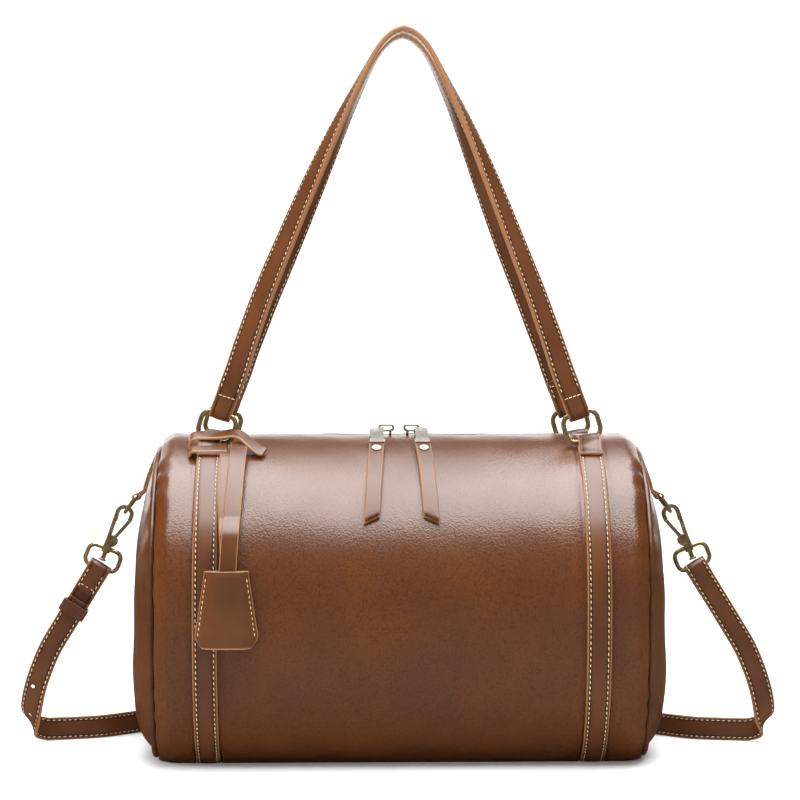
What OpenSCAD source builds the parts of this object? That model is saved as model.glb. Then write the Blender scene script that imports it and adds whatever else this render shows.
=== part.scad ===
// Barrel bag in leather: a round body lying on its side, zip along the top, two handles on rings,
// a long strap clipped to the ends, leather zip pulls and a bell-shaped key cover on a lace.
// Millimetres, +Z up, +X to the right, front towards -Y, origin under the middle of the flat base.

/* [Body] */
// Length between the two end seams
body_l = 307; // [260:1:340]
// Radius of the round front, top and back
barrel_r = 101; // [92:1:110]
// Height of the barrel's axis above the floor
axis_z = 103; // [100:1:112]
// Thickness of the outer leather
leather_t = 2; // [1.4:0.1:2.4]
// Thickness of the cloth lining
lining_t = 1; // [0.8:0.1:1.4]
// Length over which each end of the barrel rounds down to its seam
shoulder_l = 25; // [18:1:30]
// How far the barrel has rounded down at the seam
shoulder_drop = 13; // [8:1:16]
// How far each end panel bulges past its seam
dome_h = 20; // [12:1:26]
// Radius of the turned welt round each end
welt_r = 2.2; // [1.6:0.1:2.6]
// Thickness of the stiff board in the base
board_t = 2; // [1.5:0.1:2.5]

/* [Zip] */
// Length of the zip's mouth
zip_l = 260; // [220:1:262]
// Width of the slot in the leather
zip_w = 10; // [9.6:0.1:12]
// Spacing of the teeth along one row
tooth_pitch = 3; // [2.8:0.1:3.6]
// Length of a slider
slider_l = 11; // [10:0.5:12]
// Width of a leather zip pull
pull_w = 9.6; // [8:0.1:10.4]
// Length of the metal clamp along the bag
clamp_l = 30; // [24:1:32]
// Length of a zip pull along the bag, from its hinge to its tip
pull_l = 99; // [80:1:110]

/* [Straps] */
// Width of every strap and handle
strap_w = 15; // [13:0.5:16]
// Thickness of the straps sewn round the body
body_strap_t = 2; // [1.6:0.1:2.2]
// Distance of each body strap from the middle
body_strap_x = 120; // [114:1:121]
// Thickness of a handle
handle_t = 3; // [2.6:0.1:3.2]
// Height of the handles' top above the floor
handle_top_z = 465.5; // [420:1:490]
// Gap between the middles of the two handles at the top
handle_gap = 29; // [26:1:40]
// Thickness of the long strap
long_strap_t = 2.6; // [2.2:0.1:3]
// How far the strap reaches past each end seam as it lies on the floor
strap_out = 82.5; // [78:0.5:92]
// How far the strap lies behind the bag
strap_back = 135; // [128:1:170]

/* [Metal] */
// Radius of the wire of the four handle rings
ring_wire_r = 1.6; // [1.4:0.1:1.8]
// Outer width of a handle ring
ring_w = 27; // [25:0.5:30]
// Outer height of a handle ring
ring_h = 23; // [21:0.5:25]
// Radius of the wire of the side rings
side_wire_r = 1.2; // [1:0.1:1.3]
// Outer width of a side ring
side_ring_w = 20.4; // [19.5:0.1:22]
// Depth of a side ring between its bar and its bow
side_ring_depth = 13.1; // [12:0.1:15]
// Width of the metal of a clasp hook
hook_wire = 2.6; // [2.2:0.1:2.8]
// Outer radius of a hook's bow
bow_r = 6; // [5.8:0.1:6.4]
// Lean of the clasps from upright
clasp_lean = 21.5; // [18:0.5:25]

/* [Key bell] */
// Width of the bell at its widest
bell_w = 38.5; // [34:0.5:42]
// Height of the bell
bell_h = 47; // [42:0.5:50]
// Width of the lace
lace_w = 11; // [8:0.5:12]

/* [Hidden] */
$fn = 48;

// Colours as the photograph shows them
leather_colour = "#6e4128";
dark_leather_colour = "#54301c";
lining_colour = "#8c7a66";
brass_colour = "#a8925c";
gunmetal_colour = "#3a3a3c";
nickel_colour = "#c9c5bc";

// Shared clearances: one soft piece to the next, a running pin in its hole, and the overrun of cuts
gap = 0.3;
run_gap = 0.08;
over = 0.5;

// How the lower half of the section flattens: its power, its extra depth and the rise at the seams
low_power_share = 2.6;
low_depth_share = 1.1;
seam_rise_share = 0.35;
full_turn = 360;
half_turn = 180;
quarter_turn = 90;

// Smoothly 0 up to the shoulder and 1 at the seam, as a quarter of an ellipse
function shoulder(x) =
    let (t = max(0, min(1, (abs(x) - body_l / 2 + shoulder_l) / shoulder_l)))
    1 - sqrt(max(0, 1 - t * t * soft_share));
soft_share = 0.97;

// True where a body strap runs under the base and the leather is pressed up by its thickness
function in_channel(x) = abs(abs(x) - body_strap_x) < strap_w / 2 + gap;

// Height of the underside of the leather at station x
function base_z(x) =
    shoulder(x) * shoulder_drop * seam_rise_share + (in_channel(x) ? body_strap_t + gap : 0);

// Point of the barrel's section at station x and angle a from the top, grown outwards by g.
// The top half is a circle round the axis, and the lower half a fuller curve cut flat at the base.
function skin(x, a, g) =
    let (r = barrel_r - shoulder_drop * shoulder(x) + g,
         low = base_z(x) - g,
         depth = (axis_z - low) * low_depth_share,
         c = cos(a), s = sin(a), p = 2 / low_power_share)
    c >= 0 ? [x, r * s, axis_z + r * c]
           : [x, r * sign(s) * pow(abs(s), p), max(low, axis_z - depth * pow(-c, p))];

// Point at radius r and angle a forwards of the top, seen from the end, as [y, z]
function round_point(r, a) = [-r * sin(a), axis_z + r * cos(a)];

function lerp(a, b, t) = a + (b - a) * t;
function unit(v) = v / norm(v);
function reversed(v) = [for (i = [len(v) - 1 : -1 : 0]) v[i]];

// Point t of a smooth curve through the points p
function spline_at(p, t) =
    let (n = len(p) - 1, i = min(floor(t), n - 1), f = t - i,
         a = p[max(i - 1, 0)], b = p[i], c = p[i + 1], d = p[min(i + 2, n)])
    (2 * b + (c - a) * f + (2 * a - 5 * b + 4 * c - d) * f * f
        + (3 * b - a - 3 * c + d) * f * f * f) / 2;
function spline(p, per) = [for (k = [0 : (len(p) - 1) * per]) spline_at(p, k / per)];

// A solid whose skin runs through rings of m points, with flat ends unless it closes on itself
module tube_solid(rings, closed = false) {
    n = len(rings);
    m = len(rings[0]);
    sides = [for (i = [0 : n - (closed ? 1 : 2)], j = [0 : m - 1])
        let (i2 = (i + 1) % n, j2 = (j + 1) % m)
        each [[i * m + j, i2 * m + j2, i * m + j2], [i * m + j, i2 * m + j, i2 * m + j2]]];
    ends = closed ? [] : [[for (j = [0 : m - 1]) j], [for (j = [m - 1 : -1 : 0]) (n - 1) * m + j]];
    polyhedron([for (r = rings) each r], concat(sides, ends));
}

// A sheet between two skins, given as rows of points, closed along all four edges
module sheet_solid(outer, inner) {
    n = len(outer);
    m = len(outer[0]);
    w = 2 * m;
    sides = [for (i = [0 : n - 2], j = [0 : w - 1])
        let (j2 = (j + 1) % w)
        each [[i * w + j, i * w + j2, (i + 1) * w + j2], [i * w + j, (i + 1) * w + j2, (i + 1) * w + j]]];
    ends = [for (j = [0 : m - 2])
        let (a = j, b = j + 1, c = w - 2 - j, d = w - 1 - j, o = (n - 1) * w)
        each [[c, b, a], [d, c, a], [o + a, o + b, o + c], [o + a, o + c, o + d]]];
    polyhedron([for (i = [0 : n - 1]) each concat(outer[i], reversed(inner[i]))], concat(sides, ends));
}

// A flat band along points p: d is the way across it, w its width and t its thickness at each point
module band_solid(p, d, w, t) {
    n = len(p);
    tube_solid([for (i = [0 : n - 1])
        let (along = unit(p[min(i + 1, n - 1)] - p[max(i - 1, 0)]),
             face = unit(cross(along, d[i])),
             across = cross(face, along) * w[i] / 2,
             up = face * t[i] / 2)
        [p[i] - across - up, p[i] + across - up, p[i] + across + up, p[i] - across + up]]);
}

// Turns an outline drawn as [y, z] into a slab of width w centred on x
module across_slab(w) {
    rotate([quarter_turn, 0, quarter_turn]) linear_extrude(height = w, center = true) children();
}

// A round bar of radius r and length l along X, or along Y
module bar_x(r, l) { rotate([0, quarter_turn, 0]) cylinder(r = r, h = l, center = true); }
module bar_y(r, l) { rotate([quarter_turn, 0, 0]) cylinder(r = r, h = l, center = true); }

// Children are drawn for the left side, and mirrored for the right
module on_side(side) { mirror([side > 0 ? 1 : 0, 0, 0]) children(); }
module on_face(rear) { mirror([0, rear ? 1 : 0, 0]) children(); }

// Stations along the barrel: close together on the shoulders and at the edges of the strap channels
panel_half = body_l / 2 - welt_r - gap / 2;
shoulder_shares = [0, 0.35, 0.6, 0.78, 0.9, 1];
channel_half = strap_w / 2 + gap;
edge_step = 0.2;
half_stations = concat(
    [0, body_strap_x / 2],
    [body_strap_x - channel_half - edge_step, body_strap_x - channel_half + edge_step],
    [body_strap_x + channel_half - edge_step, body_strap_x + channel_half + edge_step],
    [for (s = shoulder_shares) lerp(max(body_l / 2 - shoulder_l, body_strap_x + channel_half + 2 * edge_step),
        panel_half, s)]);
stations = concat([for (x = reversed(half_stations)) -x],
    [for (i = [1 : len(half_stations) - 1]) half_stations[i]]);

// One skin of the barrel grown by g, its rows split along the top by the zip's slot or a closed seam
around = 40;
function slot_half(x) = abs(x) <= zip_l / 2 ? zip_w / 2 : gap / 2;
function barrel_rows(xs, g, n) = [for (x = xs)
    let (a0 = asin(slot_half(x) / barrel_r))
    [for (j = [0 : n]) skin(x, lerp(a0, full_turn - a0, j / n), g)]];

module barrel_panel() {
    color(leather_colour)
        sheet_solid(barrel_rows(stations, 0, around), barrel_rows(stations, -leather_t, around));
}

// Share of a unit square mapped smoothly onto a unit disc
function disc_point(u, v) = [u * sqrt(1 - v * v / 2), v * sqrt(1 - u * u / 2)];

// Domed sheet with the outline of the section at station at, bulging most a little below the middle
dome_mid_share = 0.78;
dome_mid_z = axis_z * dome_mid_share;
dome_power_share = 3;
function dome_row(at, u, n, x, g) = [for (j = [0 : n])
    let (d = disc_point(u, 2 * j / n - 1), r = min(1, norm(d)),
         a = atan2(d[0], d[1]), edge = skin(at, a, g))
    [-(x + dome_h * (1 - pow(r, dome_power_share))), edge[1] * r, dome_mid_z + (edge[2] - dome_mid_z) * r]];
function dome_rows(at, n, x, g) = [for (i = [0 : n]) dome_row(at, 2 * i / n - 1, n, x, g)];
end_cells = 18;
module end_panel(side) {
    seat = 2 * welt_r + gap;
    color(leather_colour) on_side(side) sheet_solid(
        dome_rows(body_l / 2, end_cells, body_l / 2 - leather_t, -seat),
        dome_rows(body_l / 2, end_cells, body_l / 2, -seat));
}

// Welt: a round bead that follows the section at the seam
welt_steps = 44;
welt_sides = 6;
module piping(side) {
    color(dark_leather_colour) on_side(side) tube_solid([for (i = [0 : welt_steps - 1])
        let (a = full_turn * i / welt_steps,
             p = skin(body_l / 2, a, -welt_r),
             out = unit(skin(body_l / 2, a, 0) - p))
        [for (j = [0 : welt_sides - 1])
            let (b = full_turn * j / welt_sides)
            [-p[0], p[1], p[2]] + welt_r * (cos(b) * out + sin(b) * [1, 0, 0])]], closed = true);
}

// The lining hangs inside, clear of the board in the base and of the zip tape under the top
tape_t = 0.8;
tape_half = 14;
tape_edge = 2;
tape_z = axis_z + sqrt(pow(barrel_r - leather_t, 2) - tape_half * tape_half) - gap - tape_t;
board_z = body_strap_t + leather_t + 2 * gap;
lining_in = board_z + board_t + gap;
lining_half = body_l / 2 - leather_t - shoulder_l / 2;
lining_around = 24;
lining_shares = [-1, -0.8, 0, 0.8, 1];
module barrel_lining() {
    xs = [for (s = lining_shares) s * lining_half];
    color(lining_colour) sheet_solid(
        barrel_rows(xs, -lining_in, lining_around),
        barrel_rows(xs, -lining_in - lining_t, lining_around));
}
lining_cells = 10;
module end_lining(side) {
    color(lining_colour) on_side(side) sheet_solid(
        dome_rows(lining_half, lining_cells, lining_half + gap / 2, -lining_in),
        dome_rows(lining_half, lining_cells, lining_half + gap / 2 + lining_t, -lining_in));
}

board_w = 96;
module base_board() {
    l = 2 * (panel_half - shoulder_l);
    color("#b59b78") translate([-l / 2, -board_w / 2, board_z]) cube([l, board_w, board_t]);
}

// Open-topped pocket on the inside of the back wall
pocket_w = 150;
pocket_low_a = 118;
pocket_high_a = 66;
pocket_cells = 8;
module slip_pocket() {
    in = lining_in + lining_t + gap + barrel_r * (1 - cos(half_turn / lining_around));
    color(lining_colour) sheet_solid(
        [for (i = [0 : 1]) [for (j = [0 : pocket_cells])
            skin((i - 1 / 2) * pocket_w, lerp(pocket_high_a, pocket_low_a, j / pocket_cells), -in)]],
        [for (i = [0 : 1]) [for (j = [0 : pocket_cells])
            skin((i - 1 / 2) * pocket_w, lerp(pocket_high_a, pocket_low_a, j / pocket_cells),
                -in - lining_t)]]);
}

// Zip: two woven tapes under the edges of the slot, and between them two meshed rows of teeth
tape_over = 4;
tape_sink = shoulder_drop * shoulder(zip_l / 2 + tape_over) + gap;
module zip_tape(rear) {
    color(dark_leather_colour) on_face(rear)
        translate([-zip_l / 2 - tape_over, -tape_half, tape_z - tape_sink])
        cube([zip_l + 2 * tape_over, tape_half - tape_edge, tape_t]);
}
tooth_w = 1.3;
tooth_reach = 1;
spine_in = 1.2;
tooth_h = 2;
tooth_z = tape_z + (tape_t - tooth_h) / 2;
teeth = floor((zip_l - tooth_pitch) / tooth_pitch);
module zip_teeth(rear) {
    spine = tape_edge - gap / 2;
    first = -teeth * tooth_pitch / 2 + (rear ? tooth_pitch / 2 : 0);
    color(brass_colour) on_face(rear) translate([0, 0, tooth_z]) linear_extrude(height = tooth_h)
        polygon(concat(
            [[first + (teeth - 1) * tooth_pitch + tooth_w, -spine], [first, -spine]],
            [for (i = [0 : teeth - 1])
                let (x = first + i * tooth_pitch, last = i == teeth - 1)
                each concat([[x, tooth_reach], [x + tooth_w, tooth_reach]],
                    last ? [] : [[x + tooth_w, -spine_in], [x + tooth_pitch, -spine_in]])]));
}
stop_l = 2.4;
module zip_stops() {
    color(brass_colour) for (side = [-1, 1])
        translate([side * (zip_l / 2 + gap) - stop_l / 2 + side * stop_l / 2, -tape_edge + gap / 2, tooth_z])
        cube([stop_l, 2 * tape_edge - gap, tooth_h]);
}

// Body straps: a band right round the barrel, folded over the two rings at the top
loop_bore = ring_wire_r + run_gap;
loop_wall = body_strap_t + gap / 3;
loop_r = loop_bore + loop_wall;
loop_w = 13;
loop_rho = barrel_r + gap + loop_r;
loop_a = 20.4;
loop_yz = round_point(loop_rho, loop_a);
// The strap bends at the same angles as the panel under it
panel_a0 = asin(zip_w / 2 / barrel_r);
first_turn = loop_a + 1;
strap_turns = concat([loop_a],
    [for (j = [0 : around])
        let (a = lerp(panel_a0, full_turn - panel_a0, j / around))
        if (a > first_turn && a < full_turn - first_turn) a],
    [full_turn - loop_a]);
ramp_a = 7;
ramp_lift_share = 0.6;
module body_strap(side) {
    rows = [for (k = [0, 1]) [for (a = strap_turns)
        skin(body_strap_x + (k - 1 / 2) * strap_w, a, gap + body_strap_t)]];
    ins = [for (k = [0, 1]) [for (a = strap_turns) skin(body_strap_x + (k - 1 / 2) * strap_w, a, gap)]];
    color(leather_colour) on_side(-side) {
        sheet_solid(rows, ins);
        for (rear = [false, true]) on_face(rear) translate([body_strap_x, 0, 0]) across_slab(loop_w)
            difference() {
                union() {
                    translate(loop_yz) circle(r = loop_r);
                    polygon([
                        round_point(barrel_r + gap, loop_a),
                        round_point(barrel_r + gap, loop_a + ramp_a),
                        round_point(barrel_r + gap + body_strap_t + gap, loop_a + ramp_a),
                        loop_yz + loop_r * [-cos(loop_a - ramp_a), sin(loop_a + ramp_a)]]);
                }
                translate(loop_yz) circle(r = loop_bore);
            }
    }
}

// Side tab: a folded strip from the end seam down the end panel, with the side ring in its fold
bow_out = 23.6;
bow_up = 50.2;
side_bow = [-body_l / 2 - bow_out, axis_z + bow_up];
side_lean = 35.7;
side_bar = side_bow + side_ring_depth * [sin(side_lean), cos(side_lean)];
tab_t = 2.8;
tab_wall = 1.8;
tab_bore = side_wire_r + run_gap;
tab_high = axis_z + barrel_r - shoulder_drop * shoulder(body_l / 2) - 2 * welt_r - gap;
tab_steps = 8;
// How far out the end panel's dome stands at height z in its middle
function end_x(z) =
    let (r = (z - dome_mid_z) / (tab_high - dome_mid_z))
    body_l / 2 + dome_h * (1 - pow(r, dome_power_share));
module side_tab(side) {
    heights = [for (i = [0 : tab_steps]) lerp(tab_high, side_bar[1], i / tab_steps)];
    color(dark_leather_colour) on_side(side) rotate([quarter_turn, 0, 0])
        linear_extrude(height = strap_w, center = true) difference() {
            union() {
                translate(side_bar) circle(r = tab_bore + tab_wall);
                polygon(concat(
                    [for (z = heights) [-end_x(z) - gap - tab_t, z]],
                    [for (z = reversed(heights)) [-end_x(z) - gap, z]]));
            }
            translate(side_bar) circle(r = tab_bore);
        }
}

// A rounded rectangle of round wire in the XZ plane, w by h between the wire's middles
module wire_frame(w, h, wire, corner) {
    for (s = [-1, 1]) {
        translate([s * w / 2, 0, 0]) cylinder(r = wire, h = h - 2 * corner, center = true);
        translate([0, 0, s * h / 2]) bar_x(wire, w - 2 * corner);
    }
    for (q = [0 : 3]) rotate([0, q * quarter_turn, 0]) {
        flip = q % 2 == 1;
        translate([(flip ? h : w) / 2 - corner, 0, (flip ? w : h) / 2 - corner])
            rotate([quarter_turn, 0, 0]) rotate_extrude(angle = quarter_turn)
            translate([corner, 0]) circle(r = wire, $fn = 24);
    }
}

// Handle rings stand on the body straps' loops and carry the handles' loops
ring_x = 118;
ring_corner = 2.9;
ring_top_z = loop_yz[1] + ring_h - 2 * ring_wire_r;
module handle_ring(side, rear) {
    color(brass_colour) on_side(side) on_face(rear)
        translate([-ring_x, loop_yz[0], (loop_yz[1] + ring_top_z) / 2])
        wire_frame(ring_w - 2 * ring_wire_r, ring_h - 2 * ring_wire_r, ring_wire_r, ring_corner);
}

// Handle: rises from the ring, turns from facing forward to lying flat over the shoulder.
// Shares of each point: out along x, up, towards the middle, and the turn in shares of a right angle.
handle_shares = [
    [1, 0, 0, 0], [0.995, 0.012, 0.01, 0.01], [0.972, 0.032, 0.03, 0.03],
    [0.93, 0.06, 0.055, 0.08], [0.872, 0.12, 0.11, 0.18], [0.785, 0.22, 0.2, 0.28],
    [0.68, 0.35, 0.33, 0.36], [0.581, 0.47, 0.45, 0.46], [0.478, 0.595, 0.575, 0.57],
    [0.412, 0.675, 0.66, 0.66], [0.347, 0.75, 0.74, 0.75], [0.281, 0.82, 0.81, 0.84],
    [0.187, 0.91, 0.905, 0.94], [0.125, 0.958, 0.955, 0.98], [0.06, 0.988, 0.985, 1],
    [0, 1, 1, 1]];
handle_x = 116;
handle_loop_r = loop_bore + handle_t;
handle_loop_w = 13;
handle_foot = 3.4;
handle_neck = 7;
handle_neck_t = 5;
lap_share = 0.8;
handle_per = 2;
// The rear handle hangs a little nearer the middle, most below the middle of its rise.
rear_draw = 3;
draw_power_share = 2;
draw_peak_share = 16;
module handle(rear) {
    rise = handle_top_z - handle_t / 2 - ring_top_z - handle_foot;
    lean = -loop_yz[0] - handle_gap / 2;
    draw = rear ? rear_draw * draw_peak_share : 0;
    left = [for (s = handle_shares)
        [-handle_x * s[0] + draw * pow(s[1], draw_power_share) * pow(1 - s[1], 2), loop_yz[0] + lean * s[2],
         ring_top_z + handle_foot + rise * s[1], quarter_turn * s[3]]];
    half = spline(left, handle_per);
    way = concat(half,
        [for (i = [len(half) - 2 : -1 : 0]) [-half[i][0], half[i][1], half[i][2], half[i][3]]]);
    n = len(way);
    p = [for (w = way) [w[0], w[1], w[2]]];
    d = [for (i = [0 : n - 1])
        let (along = unit(p[min(i + 1, n - 1)] - p[max(i - 1, 0)]),
             flat = unit(cross([0, 1, 0], along)))
        cos(way[i][3]) * -flat + sin(way[i][3]) * [0, 1, 0]];
    color(leather_colour) on_face(rear) {
        band_solid(p, d, [for (w = way) strap_w], [for (w = way) handle_t]);
        for (side = [-1, 1]) translate([side * handle_x, loop_yz[0], ring_top_z]) across_slab(handle_loop_w)
            difference() {
                union() {
                    circle(r = handle_loop_r);
                    polygon([
                        [-handle_neck_t / 2, 0], [handle_neck_t / 2, 0],
                        [handle_neck_t / 2, handle_neck * lap_share],
                        [handle_t / 2 + gap, handle_neck], [-handle_t / 2 - gap, handle_neck],
                        [-handle_neck_t / 2, handle_neck * lap_share]]);
                }
                circle(r = loop_bore);
            }
    }
}

// Side ring: a straight bar in the tab and a round bow
module side_ring(side) {
    half = side_ring_w / 2 - side_wire_r;
    corner = 1.6;
    color(brass_colour) on_side(side)
        translate([side_bar[0], 0, side_bar[1]]) rotate([0, side_lean - quarter_turn, 0]) {
        bar_y(side_wire_r, 2 * (half - corner));
        for (s = [0, 1]) mirror([0, s, 0]) {
            translate([-corner, half - corner, 0]) rotate_extrude(angle = quarter_turn)
                translate([corner, 0]) circle(r = side_wire_r, $fn = 24);
            translate([-(side_ring_depth - half + corner) / 2, half, 0]) rotate([0, quarter_turn, 0])
                cylinder(r = side_wire_r, h = side_ring_depth - half - corner, center = true);
        }
        translate([half - side_ring_depth, 0, 0]) rotate([0, 0, quarter_turn])
            rotate_extrude(angle = half_turn) translate([half, 0]) circle(r = side_wire_r, $fn = 24);
    }
}

// Clasps are drawn upright round their swivel and then leaned. Up is away from the strap, and +X is
// towards the bag. The side ring's bow lies in the hook's bow.
bow_x = 2.6;
bow_u = 28;
bow_seat = 1.25;
clasp_at = let (l = bow_x, u = bow_u + bow_seat)
    side_bow - [l * cos(clasp_lean) + u * sin(clasp_lean), u * cos(clasp_lean) - l * sin(clasp_lean)];
hook_t = 3.2;
boss_t = 5.2;
boss_r = 3.8;
pivot = [1.3, 8.6];
pin_r = 0.8;
gate_len = 16.9;
gate_w = 2.3;
gate_t = 2.6;
gate_root_t = 1.5;
slot_t = 3;
gate_to = [7.4, 25];
stud_r = 1.5;
collar_r = 2.8;
collar_u = 0.4;
collar_h = 4;
swivel_r = 3.2;
swivel_low = -3.8;
swivel_high = 0;
head_r = 2.5;
head_h = 1.2;
eye_u = -1.9;
eye_wire = 2.6;
eye_depth = 8.6;
eye_w_top = 18.8;
eye_w_low = 20;

module leaned(side) {
    on_side(side) translate([clasp_at[0], 0, clasp_at[1]]) rotate([0, clasp_lean, 0]) children();
}
// An outline drawn as [x, up] made a plate of thickness t
module plate(t) { rotate([quarter_turn, 0, 0]) linear_extrude(height = t, center = true) children(); }

module hook_outline() {
    inner = bow_r - hook_wire;
    difference() {
        union() {
            translate([bow_x, bow_u]) circle(r = bow_r);
            polygon([
                [bow_x - bow_r, bow_u], [bow_x + bow_r, bow_u], [bow_x + bow_r, bow_u - bow_r],
                [bow_x + inner, bow_u - bow_r], [bow_x - inner, bow_u - bow_r],
                [pivot[0] - hook_wire / 2, pivot[1]],
                [pivot[0] - boss_r, pivot[1]]]);
        }
        translate([bow_x, bow_u]) circle(r = inner);
        polygon([
            [bow_x - inner, bow_u], [bow_x + inner, bow_u], [bow_x + inner, pivot[1]],
            [pivot[0] + boss_r, pivot[1]], [pivot[0] - hook_wire / 4, pivot[1] + boss_r - hook_wire / 2]]);
        translate(pivot) intersection() {
            circle(r = gate_len + gap);
            polygon([[-hook_wire / 2, boss_r], [bow_x - pivot[0] + bow_r + over, boss_r],
                [bow_x - pivot[0] + bow_r + over, gate_len + gap],
                [bow_x + inner - pivot[0] - over, gate_len + gap]]);
        }
    }
    translate(pivot) circle(r = boss_r);
}
module clasp_hook(side) {
    neck_w = 2 * collar_r - over;
    color(brass_colour) leaned(side) difference() {
        union() {
            plate(hook_t) hook_outline();
            plate(boss_t) {
                translate(pivot) circle(r = boss_r);
                translate([-neck_w / 2, collar_u + collar_h / 2])
                    square([neck_w, pivot[1] - collar_u - collar_h / 2]);
            }
            translate([0, 0, collar_u]) cylinder(r = collar_r, h = collar_h);
        }
        plate(slot_t) translate(pivot) {
            circle(r = boss_r - hook_wire / 3);
            polygon([[0, 0], [-hook_wire, 2 * boss_r], [gate_len, 2 * boss_r], [gate_len, 0],
                [boss_r, -hook_wire / 2]]);
        }
        translate([pivot[0], 0, pivot[1]]) bar_y(pin_r, boss_t + 2 * over);
        translate([0, 0, collar_u - over]) cylinder(r = stud_r, h = collar_h + over);
    }
}
gate_slip = (slot_t - gate_root_t) / 2 - gap / 3;
module clasp_gate(side) {
    way = unit(gate_to - pivot);
    left = [-way[1], way[0]] * gate_w / 2;
    root = 2.3;
    color(brass_colour) leaned(side) translate([pivot[0], 0, pivot[1]]) difference() {
        union() {
            translate([0, -gate_slip, 0]) plate(gate_root_t) {
                circle(r = root);
                polygon([-left, way * (boss_r + over) - left, way * (boss_r + over) + left, left]);
            }
            plate(gate_t) intersection() {
                circle(r = gate_len);
                polygon([way * boss_r - left, way * 2 * gate_len - left,
                    way * 2 * gate_len + left, way * boss_r + left]);
            }
        }
        bar_y(pin_r + run_gap, boss_t);
    }
}
module gate_pin(side) {
    color(gunmetal_colour) leaned(side) translate([pivot[0], 0, pivot[1]]) bar_y(pin_r, boss_t + gap);
}
// Torsion spring: a coil of wire round the gate's pin, beside the gate's root
spring_turns = 3;
spring_wire_r = 0.13;
spring_r = 1.25;
spring_sides = 6;
spring_steps = 8;
module gate_spring(side) {
    room = slot_t - gate_root_t - 4 * gap / 3 - 2 * spring_wire_r;
    n = spring_turns * spring_steps;
    start = slot_t / 2 - gap / 3 - spring_wire_r;
    color(gunmetal_colour) leaned(side) translate([pivot[0], 0, pivot[1]])
        tube_solid([for (i = [0 : n])
            let (a = full_turn * i / spring_steps, out = [cos(a), 0, sin(a)])
            [for (j = [0 : spring_sides - 1])
                let (b = full_turn * j / spring_sides)
                (spring_r + spring_wire_r * cos(b)) * out
                    + [0, start - room * i / n + spring_wire_r * sin(b), 0]]]);
}
module swivel_stud(side) {
    color(brass_colour) leaned(side) {
        translate([0, 0, swivel_low - gap]) cylinder(r = stud_r, h = collar_u + collar_h - swivel_low);
        translate([0, 0, swivel_low - gap - head_h]) cylinder(r = head_r, h = head_h);
    }
}
module clasp_eye(side) {
    low = eye_u - eye_depth;
    color(brass_colour) leaned(side) difference() {
        union() {
            plate(eye_wire) difference() {
                polygon([
                    [-eye_w_top / 2 - eye_wire / 2, eye_u + eye_wire / 2],
                    [eye_w_top / 2 + eye_wire / 2, eye_u + eye_wire / 2],
                    [eye_w_low / 2 + eye_wire / 2, low], [-eye_w_low / 2 - eye_wire / 2, low]]);
                polygon([
                    [-eye_w_top / 2 + eye_wire / 2, eye_u - eye_wire / 2],
                    [eye_w_top / 2 - eye_wire / 2, eye_u - eye_wire / 2],
                    [eye_w_low / 2 - eye_wire / 2, low - over], [-eye_w_low / 2 + eye_wire / 2, low - over]]);
            }
            translate([0, 0, low]) bar_x(eye_wire / 2, eye_w_low + eye_wire);
            translate([0, 0, swivel_low]) cylinder(r = swivel_r, h = swivel_high - swivel_low);
        }
        translate([0, 0, swivel_low - over])
            cylinder(r = stud_r + run_gap, h = swivel_high - swivel_low + 2 * over);
    }
}

// Long strap. Its fold holds the right eye; it drops to the floor, turns back on its edge, runs round
// behind the bag and rises on the left to a tongue over the short strap.
// Shares of each point: across in shares of the reach, back, up in shares of the eye's height,
// and how far the band has turned from upright on its edge to flat against the end.
eye_low = clasp_at - (eye_depth - eye_u) * [sin(clasp_lean), cos(clasp_lean)];
drop_lean = 31.5;
drop_way = [-sin(drop_lean), -cos(drop_lean)];
drop_across = [cos(drop_lean), -sin(drop_lean)];
strap_shares = [
    [0.955, 0.02, 0.53, 0.95], [0.99, 0.05, 0.35, 0.85], [1.008, 0.095, 0.19, 0.62],
    [1.005, 0.165, 0.1, 0.35],
    [0.967, 0.218, 0, 0.1], [0.91, 0.245, 0, 0], [0.83, 0.29, 0, 0], [0.76, 0.39, 0, 0], [0.66, 0.55, 0, 0],
    [0.54, 0.7, 0, 0], [0.38, 0.86, 0, 0], [0.2, 0.965, 0, 0], [0, 1, 0, 0]];
strap_reach = body_l / 2 + strap_out;
strap_per = 3;
layer_y = long_strap_t / 2 + gap / 2;
strap_straight = 46;
straight_shares = [0, 0.5, 0.85, 1];
tongue_at = 25;
turn_share = 0.7;
function strap_side(start, y) = concat(
    [for (s = straight_shares)
        let (d = lerp(start, strap_straight, s))
        [eye_low[0] + drop_way[0] * d, y, eye_low[1] + drop_way[1] * d, 1]],
    [for (s = strap_shares)
        [-strap_reach * s[0], strap_back * s[1] + y * s[3], max(strap_w / 2, eye_low[1] * s[2]), s[3]]]);
function band_across(w, side) =
    unit([side * drop_across[0] * w[3], 0, drop_across[1] * w[3] - (1 - w[3]) * turn_share]);

// Children are drawn hanging from the fold round an eye, down the strap
module dropped(side) {
    on_side(side) translate([eye_low[0], 0, eye_low[1]]) rotate([0, drop_lean, 0]) children();
}
fold_r = eye_wire / 2 + run_gap + long_strap_t;
fold_tail = 18;
fold_steps = 20;
module strap_fold(front_l, back_l) {
    half = layer_y + long_strap_t / 2;
    split = min(front_l, back_l);
    across_slab(strap_w) polygon(concat(
        [for (i = [0 : fold_steps]) let (a = half_turn * i / fold_steps) fold_r * [cos(a), sin(a)]],
        [[-half, -2 * fold_r], [-half, -front_l], [-gap / 2, -front_l], [-gap / 2, -split]],
        [[gap / 2, -split], [gap / 2, -back_l], [half, -back_l], [half, -2 * fold_r]]));
}
module eye_bore(side) {
    leaned(side) translate([0, 0, eye_u - eye_depth]) bar_x(eye_wire / 2 + run_gap, 2 * strap_w);
}
hole_r = 1.25;
hole_shares = [[1, 0.335], [1.013, 0.166]];
keeper_at = 31.5;
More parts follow.
